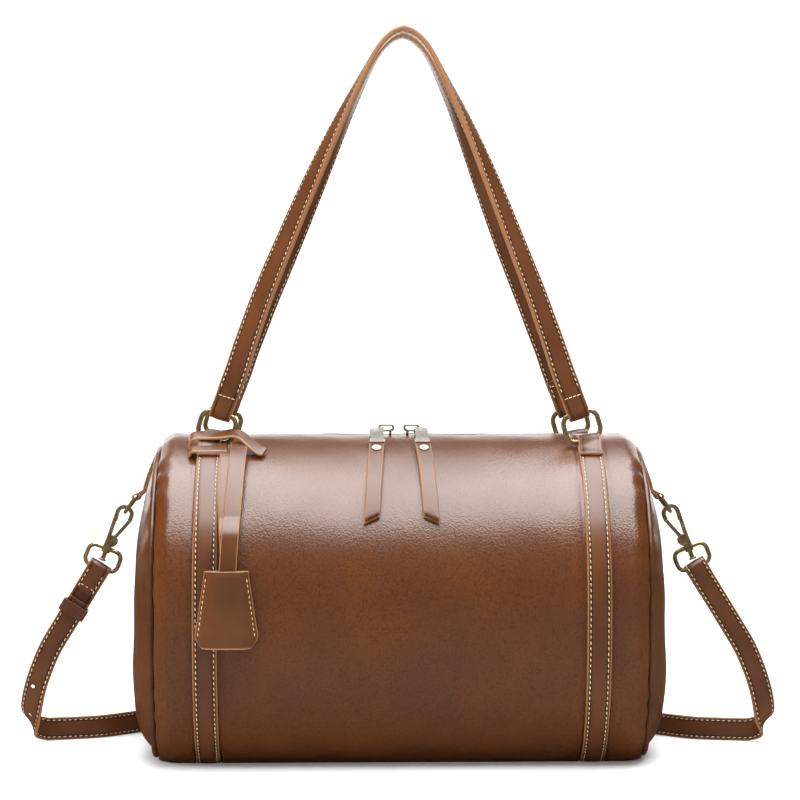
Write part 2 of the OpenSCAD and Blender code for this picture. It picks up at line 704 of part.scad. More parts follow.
module long_strap() {
    left = spline(strap_side(tongue_at, -layer_y), strap_per);
    right = spline(strap_side(fold_tail / 2, -layer_y), strap_per);
    m = len(right);
    d = concat([for (w = left) band_across(w, 1)], [for (i = [m - 2 : -1 : 0]) band_across(right[i], -1)]);
    way = concat(left, [for (i = [m - 2 : -1 : 0]) [-right[i][0], right[i][1], right[i][2]]]);
    p = [for (i = [0 : len(way) - 1])
        let (up = abs(d[i][2]), half = up * strap_w / 2 + sqrt(max(0, 1 - up * up)) * long_strap_t / 2)
        [way[i][0], way[i][1], max(half, way[i][2])]];
    color(leather_colour) difference() {
        union() {
            band_solid(p, d, [for (q = p) strap_w], [for (q = p) long_strap_t]);
            dropped(1) strap_fold(fold_tail, fold_tail);
        }
        eye_bore(1);
        dropped(-1) translate([0, -layer_y, -keeper_at]) bar_y(hole_r, 2 * long_strap_t);
        for (h = hole_shares)
            translate([-strap_reach * h[0], 0, eye_low[1] * h[1]]) bar_y(hole_r, strap_w * 2);
    }
}
module short_strap() {
    color(leather_colour) difference() {
        dropped(-1) strap_fold(fold_tail, strap_straight);
        eye_bore(-1);
        dropped(-1) translate([0, layer_y, -keeper_at]) bar_y(hole_r, 2 * long_strap_t);
    }
}
// Stud that holds the long strap's hole to the short strap, hidden under the keeper
stud_head_r = 2.6;
stud_head_t = 0.8;
module strap_stud() {
    half = layer_y + long_strap_t / 2;
    color(nickel_colour) dropped(-1) translate([0, 0, -keeper_at]) {
        bar_y(hole_r - run_gap, 2 * half + stud_head_t);
        for (s = [-1, 1])
            translate([0, s * (half + stud_head_t / 2 + gap / 10), 0]) bar_y(stud_head_r, stud_head_t);
    }
}
keeper_l = 8;
keeper_t = 1.1;
module strap_keeper() {
    in_x = strap_w / 2 + gap;
    in_y = layer_y + long_strap_t / 2 + stud_head_t + 2 * gap;
    color(dark_leather_colour) dropped(-1) translate([0, 0, -keeper_at - keeper_l / 2])
        linear_extrude(height = keeper_l) difference() {
            square(2 * [in_x + keeper_t, in_y + keeper_t], center = true);
            square(2 * [in_x, in_y], center = true);
        }
}

// Zip sliders sit on the closed teeth, each with a fin that holds its pull's ring
slider_x = 7.5;
slider_half_w = 4.2;
slider_t = 1.4;
slider_z = tooth_z + tooth_h + gap;
fin_x = 5.5;
fin_t = 1.6;
pull_wire_r = 0.75;
pull_hinge_y = -9;
pull_hinge_up = 4.8;
pull_hinge = [pull_hinge_y, slider_z + pull_hinge_up];
fin_top = pull_hinge[1] - pull_wire_r - gap - run_gap;
neck_share = 0.8;
lug_r = 2.2;
module slider(side) {
    top = slider_z + slider_t;
    color(gunmetal_colour) on_side(side) {
        translate([-slider_x - slider_l / 2, -slider_half_w, slider_z])
            cube([slider_l, 2 * slider_half_w, slider_t]);
        translate([-fin_x, 0, 0]) across_slab(fin_t) difference() {
            union() {
                translate(pull_hinge) circle(r = lug_r);
                polygon([
                    [slider_half_w - over, top - over], [slider_half_w / 4, fin_top],
                    [pull_hinge[0] + neck_share * lug_r, fin_top], pull_hinge - [0, lug_r],
                    [-slider_half_w, pull_hinge[1] - lug_r], [-slider_half_w + lug_r / 2, top - over]]);
            }
            translate(pull_hinge) circle(r = pull_wire_r + run_gap);
        }
    }
}
// Angle of the pull's hinge from the top, and degrees per millimetre along the round of the bag
hinge_rho = norm(pull_hinge - [0, axis_z]);
hinge_a = atan2(-pull_hinge[0], pull_hinge[1] - axis_z);
turn_per_mm = half_turn / (PI * hinge_rho);
pull_ring_near = 3.6;
pull_ring_far = 12.6;
pull_ring_h = 3.6;
pull_ring_corner = 1.3;
module pull_ring(side) {
    color(gunmetal_colour) on_side(side)
        translate([-(pull_ring_near + pull_ring_far) / 2, pull_hinge[0], pull_hinge[1] + pull_ring_h / 2])
        wire_frame(pull_ring_far - pull_ring_near, pull_ring_h, pull_wire_r, pull_ring_corner);
}

// Turns a profile drawn as [radius, x] round the barrel's axis from angle a to angle b
module on_round(a, b) {
    translate([0, 0, axis_z]) rotate([half_turn, -quarter_turn, 0]) rotate([0, 0, a])
        rotate_extrude(angle = b - a) children();
}
// Two leather layers along the bag, under a metal clamp that hangs on the ring
pull_x = 14.3;
pull_slant = 4;
layer_t = 1.7;
pull_seat = 0.5;
pull_low = barrel_r + pull_seat;
pull_mid = pull_low + layer_t + gap;
pull_high = pull_mid + layer_t;
clamp_a = hinge_a + clamp_l * turn_per_mm;
pull_a = hinge_a + pull_l * turn_per_mm;
rivet_mm = 10.5;
rivet_a = clamp_a + rivet_mm * turn_per_mm;
clamp_t = 0.9;
tube_r = 2.3;
tube_bore = 1;
tube_l = 8.8;
flange_mm = 6;
function pull_at(a) = pull_x + pull_slant * (a - clamp_a) / (pull_a - clamp_a);
plate_start_mm = 1.4;
plate_over = 0.6;
flange_over = 0.4;
module pull_clamp(side) {
    color(gunmetal_colour) on_side(side) {
        difference() {
            union() {
                translate([-pull_x, pull_hinge[0], pull_hinge[1]]) bar_x(tube_r, tube_l);
                on_round(hinge_a + plate_start_mm * turn_per_mm, clamp_a)
                    translate([pull_low + clamp_t, -pull_x - tube_l / 2 + flange_over])
                    square([pull_high - pull_low - clamp_t + plate_over, tube_l - 2 * flange_over]);
                on_round(clamp_a - flange_mm * turn_per_mm / 2, clamp_a + flange_mm * turn_per_mm / 2)
                    translate([pull_high + gap / 3, -pull_x - tube_l / 2 - flange_over])
                    square([clamp_t, tube_l + 2 * flange_over]);
            }
            translate([-pull_x, pull_hinge[0], pull_hinge[1]]) bar_x(tube_bore, tube_l + 2 * over);
            translate([-pull_ring_far, pull_hinge[0], pull_hinge[1] + tube_r])
                cube([2 * tube_bore, 2 * tube_bore, 2 * tube_r], center = true);
        }
    }
}
pull_steps = 16;
layer_step_mm = 1.8;
lap_mm = 3.6;
cut_slant = 1.5;
module pull_layer(r0, r1, end) {
    tube_solid([for (i = [0 : pull_steps])
        let (s = i / pull_steps, a = lerp(clamp_a + gap, end, s))
        [for (c = [[0, -1], [0, 1], [1, 1], [1, -1]])
            let (b = a - c[1] * cut_slant * s, q = round_point(c[0] == 0 ? r0 : r1, b))
            [-pull_at(a) + c[1] * pull_w / 2, q[0], q[1]]]]);
}
rivet_r = 3;
rivet_pin_r = 1;
rivet_back_r = 2;
rivet_t = 1.2;
module at_rivet(side) {
    on_side(side) translate([-pull_at(rivet_a), 0, axis_z]) rotate([rivet_a, 0, 0]) children();
}
module zip_pull(side) {
    color(leather_colour) difference() {
        on_side(side) {
            pull_layer(pull_low, pull_mid - gap, pull_a);
            pull_layer(pull_mid, pull_high, pull_a - layer_step_mm * turn_per_mm);
            pull_layer(pull_low + layer_t / 2, pull_high - layer_t / 2, clamp_a + lap_mm * turn_per_mm);
        }
        at_rivet(side) {
            translate([0, 0, pull_low - over])
                cylinder(r = rivet_pin_r + run_gap, h = 2 * layer_t + 2 * over + gap);
            translate([0, 0, pull_low - over]) cylinder(r = rivet_back_r + run_gap, h = clamp_t + over);
        }
    }
}
module pull_rivet(side) {
    color(nickel_colour) at_rivet(side) {
        translate([0, 0, pull_low + gap / 3]) cylinder(r = rivet_back_r, h = clamp_t - gap);
        translate([0, 0, pull_low + gap / 3]) cylinder(r = rivet_pin_r, h = pull_high - pull_low);
        translate([0, 0, pull_high + gap / 3]) cylinder(r = rivet_r, h = rivet_t);
    }
}

// Lace: two turns across the left body strap under its front ring, and a strip that hangs from them
lace_t = 2.6;
wrap_near = 109;
wrap_far = 131;
wrap_low = barrel_r + gap;
wrap_mid = barrel_r + gap + body_strap_t + gap;
wrap_high = wrap_mid + lace_t;
wrap_a = [22.9, 28.6, 35.5];
wrap_lift = 3.7;
tongue_x = 88;
lace_hinge_a = 30;
lace_hinge_rho = 106.6;
lace_hinge = round_point(lace_hinge_rho, lace_hinge_a);
cord_r = 1;
lace_x = 101.3;
lace_low_x = 106;
module lace_wrap() {
    leg = lace_t;
    color(leather_colour) {
        on_round(wrap_a[1] - 1, wrap_a[2]) {
            translate([wrap_mid, -wrap_far]) square([lace_t, wrap_far - wrap_near]);
            translate([wrap_low, -wrap_far]) square([wrap_high - wrap_low, leg]);
            translate([wrap_low, -wrap_near - leg + over]) square([wrap_high - wrap_low, leg]);
            translate([wrap_low, -wrap_near]) square([wrap_mid - wrap_low, wrap_near - tongue_x]);
        }
        translate([-(wrap_near + wrap_far) / 2, 0, 0]) across_slab(wrap_far - wrap_near) polygon([
            round_point(wrap_mid + wrap_lift, wrap_a[0]), round_point(wrap_mid + gap, wrap_a[1]),
            round_point(wrap_high, wrap_a[1]), round_point(wrap_high + wrap_lift, wrap_a[0])]);
        translate([-wrap_near + lace_w - lace_w / 2 + over, lace_hinge[0], lace_hinge[1]])
            bar_x(cord_r, lace_w + 2 * lace_t);
    }
}
roll_t = 1.6;
roll_r = cord_r + run_gap + roll_t;
lace_lift = 5;
lace_rho = barrel_r + lace_lift;
lace_turn_a = 60;
lace_steps = 12;
bell_top_z = 125.2;
bell_y = -107;
bell_hinge_drop = 3.5;
bell_hinge = [bell_y, bell_top_z - bell_hinge_drop];
key_wire_r = 0.9;
module lace() {
    n = lace_steps;
    arc = [for (i = [0 : n]) let (a = lerp(lace_hinge_a, lace_turn_a, i / n)) round_point(lace_rho, a)];
    way = concat(arc, [bell_hinge + [0, 2 * lace_t], bell_hinge]);
    last = len(way) - 1;
    p = [for (i = [0 : last])
        let (s = (way[0][1] - way[i][1]) / (way[0][1] - way[last][1]))
        [-lerp(lace_x, lace_low_x, s), way[i][0], way[i][1]]];
    color(leather_colour) difference() {
        union() {
            band_solid(p, [for (q = p) [1, 0, 0]], [for (q = p) lace_w], [for (q = p) lace_t]);
            translate([-lace_x, lace_hinge[0], lace_hinge[1]]) bar_x(roll_r, lace_w);
            translate([-lace_low_x, bell_hinge[0], bell_hinge[1]]) bar_x(lace_t / 2 + gap, lace_w);
        }
        translate([-lace_x, lace_hinge[0], lace_hinge[1]]) bar_x(cord_r + run_gap, 2 * lace_w);
        translate([-lace_low_x, bell_hinge[0], bell_hinge[1]]) bar_x(key_wire_r + run_gap, 2 * lace_w);
    }
}

// Bell-shaped key cover: two leather shells sewn edge to edge, open below, the keys on a ring inside.
// Half-width in shares of the widest at each share of the height from the top
bell_shares = [[0, 0.7], [0.12, 0.735], [0.3, 0.8], [0.5, 0.875], [0.7, 0.95], [0.82, 1],
    [0.9, 0.95], [1, 0.78]];
bell_x = 106.5;
bell_seam_y = -105.15;
bell_t = 1.6;
bell_bulge = 4.3;
bell_cols = 14;
bell_power = 4;
module bell_shell(front) {
    way = front ? -1 : 1;
    function row(s, add) = [for (j = [0 : bell_cols])
        let (u = 2 * j / bell_cols - 1, bulge = front ? bell_bulge * (1 - pow(abs(u), bell_power)) : 0)
        [-bell_x + way * -u * s[1] * bell_w / 2, bell_seam_y + way * (gap / 2 + bulge + add),
         bell_top_z - bell_h * s[0]]];
    color(leather_colour)
        sheet_solid([for (s = bell_shares) row(s, bell_t)], [for (s = bell_shares) row(s, 0)]);
}
module bell_front() { bell_shell(true); }
module bell_back() { bell_shell(false); }
key_w = 14;
key_h = 16;
module key_ring() {
    color(nickel_colour) translate([-lace_low_x, bell_hinge[0], bell_hinge[1] - key_h / 2])
        wire_frame(key_w, key_h, key_wire_r, 2 * key_wire_r);
}

barrel_panel();
end_panel(-1);  // left_end_panel
end_panel(1);  // right_end_panel
piping(-1);  // left_piping
piping(1);  // right_piping
barrel_lining();
end_lining(-1);  // left_end_lining
end_lining(1);  // right_end_lining
base_board();
slip_pocket();
zip_tape(false);  // zip_tape_front
zip_tape(true);  // zip_tape_rear
zip_teeth(false);  // zip_teeth_front
zip_teeth(true);  // zip_teeth_rear
zip_stops();
body_strap(-1);  // left_body_strap
body_strap(1);  // right_body_strap
side_tab(-1);  // left_side_tab
side_tab(1);  // right_side_tab
handle(false);  // front_handle
handle(true);  // rear_handle
handle_ring(-1, false);  // front_left_ring
handle_ring(1, false);  // front_right_ring
handle_ring(-1, true);  // rear_left_ring
handle_ring(1, true);  // rear_right_ring
side_ring(-1);  // left_side_ring
side_ring(1);  // right_side_ring
clasp_hook(-1);  // left_clasp_hook
clasp_hook(1);  // right_clasp_hook
clasp_gate(-1);  // left_clasp_gate
clasp_gate(1);  // right_clasp_gate
gate_pin(-1);  // left_gate_pin
gate_pin(1);  // right_gate_pin
gate_spring(-1);  // left_gate_spring
gate_spring(1);  // right_gate_spring
swivel_stud(-1);  // left_swivel_stud
swivel_stud(1);  // right_swivel_stud
clasp_eye(-1);  // left_clasp_eye
clasp_eye(1);  // right_clasp_eye
long_strap();
short_strap();
strap_keeper();
strap_stud();
slider(-1);  // left_slider
slider(1);  // right_slider
pull_ring(-1);  // left_pull_ring
pull_ring(1);  // right_pull_ring
pull_clamp(-1);  // left_pull_clamp
pull_clamp(1);  // right_pull_clamp
pull_rivet(-1);  // left_pull_rivet
pull_rivet(1);  // right_pull_rivet
zip_pull(-1);  // left_zip_pull
zip_pull(1);  // right_zip_pull
lace_wrap();
lace();
bell_front();
bell_back();
key_ring();
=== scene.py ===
# %% [markdown]
# # A leather barrel bag, built on its CAD frame
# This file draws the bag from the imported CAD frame. Every length below is in millimetres and is
# turned into metres when a mesh is made. +X runs to the right, -Y to the front and +Z up.

import math

import bmesh
import bpy
import numpy as np
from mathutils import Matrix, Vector


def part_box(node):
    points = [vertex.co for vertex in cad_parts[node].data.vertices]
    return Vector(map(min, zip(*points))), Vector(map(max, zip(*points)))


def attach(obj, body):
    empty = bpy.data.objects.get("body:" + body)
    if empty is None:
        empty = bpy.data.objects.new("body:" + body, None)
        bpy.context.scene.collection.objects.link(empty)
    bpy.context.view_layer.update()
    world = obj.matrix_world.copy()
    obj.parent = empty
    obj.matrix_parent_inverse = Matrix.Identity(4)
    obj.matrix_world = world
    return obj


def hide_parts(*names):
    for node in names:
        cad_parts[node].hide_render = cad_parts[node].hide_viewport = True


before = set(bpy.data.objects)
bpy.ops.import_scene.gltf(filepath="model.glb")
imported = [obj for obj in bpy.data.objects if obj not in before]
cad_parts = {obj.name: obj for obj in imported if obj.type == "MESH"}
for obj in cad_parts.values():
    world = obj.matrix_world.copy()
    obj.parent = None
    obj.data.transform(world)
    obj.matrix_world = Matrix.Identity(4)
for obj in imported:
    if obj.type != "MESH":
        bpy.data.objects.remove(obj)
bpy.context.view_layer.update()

# %% [markdown]
# ## Sizes
# Most are the CAD part's own driving sizes, so that every soft piece lies on the solids that move. The
# shoulders and the end domes are shorter and flatter here, as the photo shows them.

# %% Sizes shared with the CAD part
MM = 0.001
BODY_L, BARREL_R, AXIS_Z, LEATHER = 307.0, 101.0, 103.0, 2.0
SHOULDER_L, SHOULDER_DROP, DOME_H, WELT = 17.0, 9.5, 15.6, 2.2
LOW_POWER, LOW_DEPTH, SEAM_RISE, GAP = 2.6, 1.1, 0.35, 0.3
STRAP_W, STRAP_X, STRAP_T = 15.0, 120.0, 2.0
RING_WIRE, RING_W, RING_H, RING_X = 1.6, 27.0, 23.0, 118.0
LOOP_R = RING_WIRE + 0.08 + 2.1
LOOP_RHO, LOOP_A = BARREL_R + GAP + LOOP_R, math.radians(20.4)
LOOP_Y, LOOP_Z = -LOOP_RHO * math.sin(LOOP_A), AXIS_Z + LOOP_RHO * math.cos(LOOP_A)
RING_TOP = LOOP_Z + RING_H - 2 * RING_WIRE
print("ring bars at y", round(LOOP_Y, 2), "z", round(LOOP_Z, 2), "and", round(RING_TOP, 2))

# %% [markdown]
# ## Mesh helpers
# A surface is a grid of points, and a strap is a rounded profile swept along a path. Both are worked
# out for all points at once.


# %% Grids of points to meshes
def unit(v):
    """Vectors of length 1 along the last axis."""
    v = np.asarray(v, float)
    return v / np.maximum(np.linalg.norm(v, axis=-1, keepdims=True), 1e-12)


def mesh_from(name, points, quads, attributes=None):
    """Smooth object at the origin from points in millimetres and rows of four point numbers."""
    points = np.asarray(points, np.float32).reshape(-1, 3) * MM
    quads = np.asarray(quads, np.int32)
    mesh = bpy.data.meshes.new(name)
    mesh.vertices.add(len(points))
    mesh.vertices.foreach_set("co", points.ravel())
    mesh.loops.add(quads.size)
    mesh.loops.foreach_set("vertex_index", quads.ravel())
    mesh.polygons.add(len(quads))
    mesh.polygons.foreach_set("loop_start", np.arange(0, quads.size, 4, dtype=np.int32))
    mesh.polygons.foreach_set("loop_total", np.full(len(quads), 4, np.int32))
    mesh.update(calc_edges=True)
    mesh.validate()
    mesh.polygons.foreach_set("use_smooth", np.full(len(mesh.polygons), True))
    for key, values in (attributes or {}).items():
        layer = mesh.attributes.new(key, "FLOAT", "POINT")
        layer.data.foreach_set("value", np.asarray(values, np.float32).ravel())
    made = bpy.data.objects.new(name, mesh)
    bpy.context.scene.collection.objects.link(made)
    return made


def grid_quads(n, m, close_n=False, close_m=False):
    """Quads of an n by m grid of points, joined end to end where asked."""
    i = np.arange(n if close_n else n - 1)[:, None]
    j = np.arange(m if close_m else m - 1)[None, :]
    next_i, next_j = (i + 1) % n, (j + 1) % m
    corners = np.broadcast_arrays(i * m + j, i * m + next_j, next_i * m + next_j, next_i * m + j)
    return np.stack(corners, -1).reshape(-1, 4)


def vertex_places(mesh):
    """Places of a mesh's points, in metres, as rows of x, y and z."""
    co = np.empty(len(mesh.vertices) * 3)
    mesh.vertices.foreach_get("co", co)
    return co.reshape(-1, 3)


def outward(made):
    """Turns the faces of a closed mesh outwards, by the sign of its volume."""
    mesh = made.data
    mesh.calc_loop_triangles()
    tri = np.empty(len(mesh.loop_triangles) * 3, np.int32)
    mesh.loop_triangles.foreach_get("vertices", tri)
    co = vertex_places(mesh)
    p = (co - co.mean(0))[tri.reshape(-1, 3)]
    if np.einsum("ij,ij->", p[:, 0], np.cross(p[:, 1], p[:, 2])) < 0:
        mesh.flip_normals()
    return made


def fill_ends(made):
    """Fills any open rims of a mesh."""
    bm = bmesh.new()
    bm.from_mesh(made.data)
    rims = [e for e in bm.edges if e.is_boundary]
    if rims:
        bmesh.ops.holes_fill(bm, edges=rims, sides=0)
    bm.to_mesh(made.data)
    bm.free()
    return made


def two_skins(name, outer, inner, attributes=None):
    """Closed sheet between two equal grids: outer[i, j] and inner[i, j], joined along the rims."""
    n, m = outer.shape[:2]
    ring = np.concatenate([outer, inner[:, ::-1]], 1)
    j = np.arange(m - 1)
    cap = np.stack([j, j + 1, 2 * m - 2 - j, 2 * m - 1 - j], 1)
    quads = np.concatenate([grid_quads(n, 2 * m, close_m=True), cap[:, ::-1], cap + (n - 1) * 2 * m])
    return outward(mesh_from(name, ring, quads, attributes))


# %% Paths
def tangents(path, closed=False):
    """Directions along a path, by central differences."""
    if closed:
        return unit(np.roll(path, -1, 0) - np.roll(path, 1, 0))
    d = np.empty_like(path)
    d[1:-1] = path[2:] - path[:-2]
    d[0], d[-1] = path[1] - path[0], path[-1] - path[-2]
    return unit(d)


def spline(points, per):
    """Smooth curve through the points, with the given number of steps between two of them."""
    p = np.asarray(points, float)
    n = len(p) - 1
    t = np.linspace(0, n, n * per + 1)
    i = np.minimum(t.astype(int), n - 1)
    f = (t - i)[:, None]
    a, b, c, d = p[np.maximum(i - 1, 0)], p[i], p[i + 1], p[np.minimum(i + 2, n)]
    return (2 * b + (c - a) * f + (2 * a - 5 * b + 4 * c - d) * f**2 + (3 * b - a - 3 * c + d) * f**3) / 2


def lengths(path):
    """Length along a path from its start to each of its points."""
    return np.concatenate([[0], np.cumsum(np.linalg.norm(np.diff(path, axis=0), axis=1))])


def read_at(at, length, values):
    """Rows of values read at other lengths along their path."""
    return np.stack([np.interp(at, length, values[:, k]) for k in range(values.shape[1])], 1)


def resample(path, step, *more):
    """Path and companion arrays read at even spacing along the path's length."""
    length = lengths(path)
    at = np.linspace(0, length[-1], max(2, int(round(length[-1] / step)) + 1))
    return tuple(read_at(at, length, np.asarray(v, float).reshape(len(path), -1)) for v in (path, *more))


# %% Tubes
def tube(name, path, radius, sides=12, closed=False):
    """Round tube along a path of points; radius is a number or one per point."""
    path = np.asarray(path, float)
    n = len(path)
    along = tangents(path, closed)
    up = np.array([0.0, 0.0, 1.0]) if abs(along[0, 2]) < 0.9 else np.array([0.0, 1.0, 0.0])
    normal = np.empty_like(path)
    normal[0] = unit(np.cross(along[0], up))
    for i in range(1, n):  # one step per station, each carried on from the last
        v = normal[i - 1] - along[i] * np.dot(normal[i - 1], along[i])
        normal[i] = v / np.linalg.norm(v)
    side = np.cross(along, normal)
    turn = np.linspace(0, 2 * np.pi, sides, endpoint=False)[:, None]
    r = np.broadcast_to(np.asarray(radius, float), (n,))[:, None, None]
    ring = path[:, None] + r * (np.cos(turn) * normal[:, None] + np.sin(turn) * side[:, None])
    if closed:
        return outward(mesh_from(name, ring, grid_quads(n, sides, True, True)))
    return outward(round_ends(name, path, ring, along, r[:, 0, 0]))


def round_ends(name, path, ring, along, r):
    """Tube closed at each end with a small dome of three shrinking rings."""
    steps = np.radians([30, 60, 88])
    start, end = (
        [path[k] + way * along[k] * r[k] * np.sin(a) + (ring[k] - path[k]) * np.cos(a) for a in steps]
        for k, way in ((0, -1), (-1, 1)))
    full = np.concatenate([start[::-1], ring, end])
    return fill_ends(mesh_from(name, full, grid_quads(*full.shape[:2], close_m=True)))


# %% [markdown]
# ## A strap's profile
# A strap is a flat band with soft painted edges, a slight crown, and two shallow grooves where the
# stitches pull the leather down.

# %% Straps swept along a path
GROOVE_AT, CROWN, EDGE_R, END_SHRINK, END_PUSH = 0.79, 0.16, 0.9, 0.93, 0.45


def strap_profile(groove):
    """Rows (A, B, C, D, E, u): x = A (w/2 - r) + B r, y = C (t/2 - r) + D r + E, u is -1 to 1 across."""
    flat = [-0.985, -0.93, -0.86, -0.79, -0.72, -0.4, 0.0, 0.4, 0.72, 0.79, 0.86, 0.93, 0.985]
    rows = []
    for side in (1, -1):
        for u in [f * side for f in flat]:
            off = abs(abs(u) - GROOVE_AT)
            dip = -groove * (1 if off < 0.01 else 0.35 if off < 0.09 else 0)
            rows.append((u, 0, side, side, side * (dip + CROWN * (1 - u * u)), u))
        for angle in (65, 30, 0, -30, -65):
            a = math.radians(angle)
            face = side * math.copysign(1, angle) if angle else 0
            rows.append((side, side * math.cos(a), face, side * math.sin(a), 0, side * 1.05))
    return np.array(rows)


def strap_ways(path, across):
    """Directions along a strap, out of its face and across it."""
    along = tangents(path)
    face = unit(np.cross(along, np.broadcast_to(across, path.shape)))
    return along, face, np.cross(face, along)


def strap_mesh(name, path, across, width, thick, groove=0.22, slant=0.0):
    """Sweeps the strap profile: width and thick may vary along it, slant is the rise along per mm across.

    A shrunken copy of each end ring, pushed out a little, softens the cut end.
    """
    path = np.asarray(path, float)
    n = len(path)
    along, face, side = strap_ways(path, across)
    w, t, rise = (np.broadcast_to(np.asarray(v, float), (n,))[:, None] for v in (width, thick, slant))
    r = np.minimum(t * 0.48, EDGE_R)
    a, b, c, d, e, u = strap_profile(groove).T
    fade = np.minimum(1, np.minimum(np.arange(n), np.arange(n)[::-1]) / 3.0)[:, None]
    x = a * (w / 2 - r) + b * r
    y = c * (t / 2 - r) + d * r + e * fade
    ring = path[:, None] + x[..., None] * side[:, None] + y[..., None] * face[:, None]
    ring += (x * rise)[..., None] * along[:, None]
    first, last = (path[k] + (ring[k] - path[k]) * END_SHRINK + along[k] * push
                   for k, push in ((0, -END_PUSH), (-1, END_PUSH)))
    ring = np.concatenate([first[None], ring, last[None]])
    length = lengths(path)
    attributes = {
        "along": np.repeat(np.concatenate([[0], length, length[-1:]]) * MM, len(u)),
        "across": np.tile(u, len(ring)),
        "edge": np.tile((np.abs(u) > 1).astype(float), len(ring)),
    }
    return outward(fill_ends(mesh_from(name, ring, grid_quads(len(ring), len(u), close_m=True), attributes)))


# %% [markdown]
# ## Stitches
# Real stitches are short lengths of waxed thread that dip into their holes. Each is a small bead, and one
# mesh holds all the stitches of a piece.

# %% Stitches along a path
PITCH, STITCH_TURN = 3.55, math.radians(6)


def stitch_line(path, across, offset, lift, pitch=PITCH, skip=(3.0, 3.0)):
    """Places for stitches along a strap: offset across it, lift off its middle, as (place, along, face)."""
    path = np.asarray(path, float)
    along, face, side = strap_ways(path, across)
    line = path + side * offset + face * lift
    length = lengths(line)
    span = length[-1] - skip[0] - skip[1]
    count = max(1, int(span / pitch))
    at = skip[0] + (span - count * pitch) / 2 + pitch * (np.arange(count) + 0.5)
    place, along, face = (read_at(at, length, v) for v in (line, along, face))
    return place, unit(along), unit(face * np.sign(lift))


def across_row(place, across, face, width, count):
    """Places of stitches side by side across a strap, as (place, along, face)."""
    at = ((np.arange(count) + 0.5) / count - 0.5)[:, None] * width
    return place + at * unit(across), np.tile(unit(across), (count, 1)), np.tile(unit(face), (count, 1))


def stitches(name, lines, length=2.2, thick=0.56):
    """One mesh of thread stitches, each a short rounded bead, turned a little and bent down at its ends."""
    place, along, face = (np.concatenate([line[k] for line in lines]) for k in range(3))
    side = np.cross(face, along)
    along = along * math.cos(STITCH_TURN) + side * math.sin(STITCH_TURN)
    side = np.cross(face, along)
    s = np.array([-0.5, -0.42, -0.2, 0.2, 0.42, 0.5])
    radius = np.array([0.15, 0.75, 1.0, 1.0, 0.75, 0.15]) * thick / 2
    drop = np.array([-0.34, -0.12, 0.0, 0.0, -0.12, -0.34])
    a = np.linspace(0, 2 * np.pi, 6, endpoint=False)
    local = np.stack([
        np.repeat(s * length, 6),
        (radius[:, None] * np.cos(a)).ravel(),
        (radius[:, None] * np.sin(a) * 0.8 + drop[:, None]).ravel(),
    ], 1)
    points = (place[:, None] + local[None, :, 0, None] * along[:, None]
              + local[None, :, 1, None] * side[:, None] + local[None, :, 2, None] * face[:, None])
    quads = grid_quads(6, 6, close_m=True)[None] + 36 * np.arange(len(place))[:, None, None]
    return outward(mesh_from(name, points, quads.reshape(-1, 4)))


# %% [markdown]
# ## What each piece wears
# Every finished piece is attached to its body and noted with its look, and the looks are put on
# once they exist.

# %% Dressing
worn = []


def dress(made, body, slot, look, *nodes):
    """Attaches a finished piece to its body, notes its look and hides the CAD nodes that it stands for; the slot
    is not used.
    """
    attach(made, body)
    if nodes:
        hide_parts(*nodes)
    worn.append((made, look))
    return made


def thread_rows(name, rows, body, **size):
    """Stitches of thread along rows of places, riding on a body."""
    return dress(stitches(name, rows, **size), body, "trim_leather", "thread")


print("helpers ready")

# %% [markdown]
# ## The barrel's section
# The top half of the section is a circle round the barrel's axis. The lower half is a fuller curve, cut
# flat where the bag rests. Towards each end the section shrinks along a quarter of an ellipse.


# %% Section of the barrel
def shoulder(x):
    """Share of the shoulder's drop at x: 1 minus the root of 1 minus the squared share of its length."""
    t = np.clip((np.abs(x) - BODY_L / 2 + SHOULDER_L) / SHOULDER_L, 0, 1)
    return 1 - np.sqrt(np.maximum(0, 1 - t * t * 0.97))


def smoothstep(a, b, x):
    """0 below a, 1 above b, and 3t squared minus 2t cubed between."""
    t = np.clip((x - a) / (b - a), 0, 1)
    return t * t * (3 - 2 * t)


def section(x, a, grow=0.0, channel=True):
    """Point of the section at station x and angle a from the top, grown outwards, in millimetres."""
    x, a = np.broadcast_arrays(np.asarray(x, float), np.asarray(a, float))
    drop = SHOULDER_DROP * shoulder(x)
    press = 1 - smoothstep(STRAP_W / 2 + 0.1, STRAP_W / 2 + 0.9, np.abs(np.abs(x) - STRAP_X))
    base = drop * SEAM_RISE + (press * (STRAP_T + GAP) if channel else 0) - grow
    r = BARREL_R - drop + grow
    depth = (AXIS_Z - base) * LOW_DEPTH
    c, s = np.cos(a), np.sin(a)
    power = 2 / LOW_POWER
    top = c >= 0
    y = np.where(top, r * s, r * np.sign(s) * np.abs(s) ** power)
    z = np.where(top, AXIS_Z + r * c, np.maximum(base, AXIS_Z - depth * np.maximum(-c, 0) ** power))
    return np.stack([x, y, z], -1)


def outward_of(points):
    """Unit normals of a grid of points, from its rows and columns, pointing away from the axis."""
    n = unit(np.cross(np.gradient(points, axis=0), np.gradient(points, axis=1)))
    away = points - np.array([0, 0, AXIS_Z]) * [0, 1, 1] - points * [1, 0, 0]
    return n * np.sign(np.sum(n * away, -1, keepdims=True))


WAVE_COUNT, WAVE_MEAN = 7, 50


def soft_waves(x, s, amount, seed, scale=1.0):
    """Slow unevenness of leather: a sum of sine waves of mixed direction and length."""
    rng = np.random.default_rng(seed)
    total = 0
    for _ in range(WAVE_COUNT):
        length = rng.uniform(24, 80) * scale
        turn = rng.uniform(0, 2 * np.pi)
        way = x * np.cos(turn) + s * np.sin(turn)
        total = total + np.sin(way * 2 * np.pi / length + rng.uniform(0, 6.28)) * length
    return total / (WAVE_COUNT * WAVE_MEAN * scale) * amount


print("section at the middle, front:", section(0, -math.pi / 2).round(1))

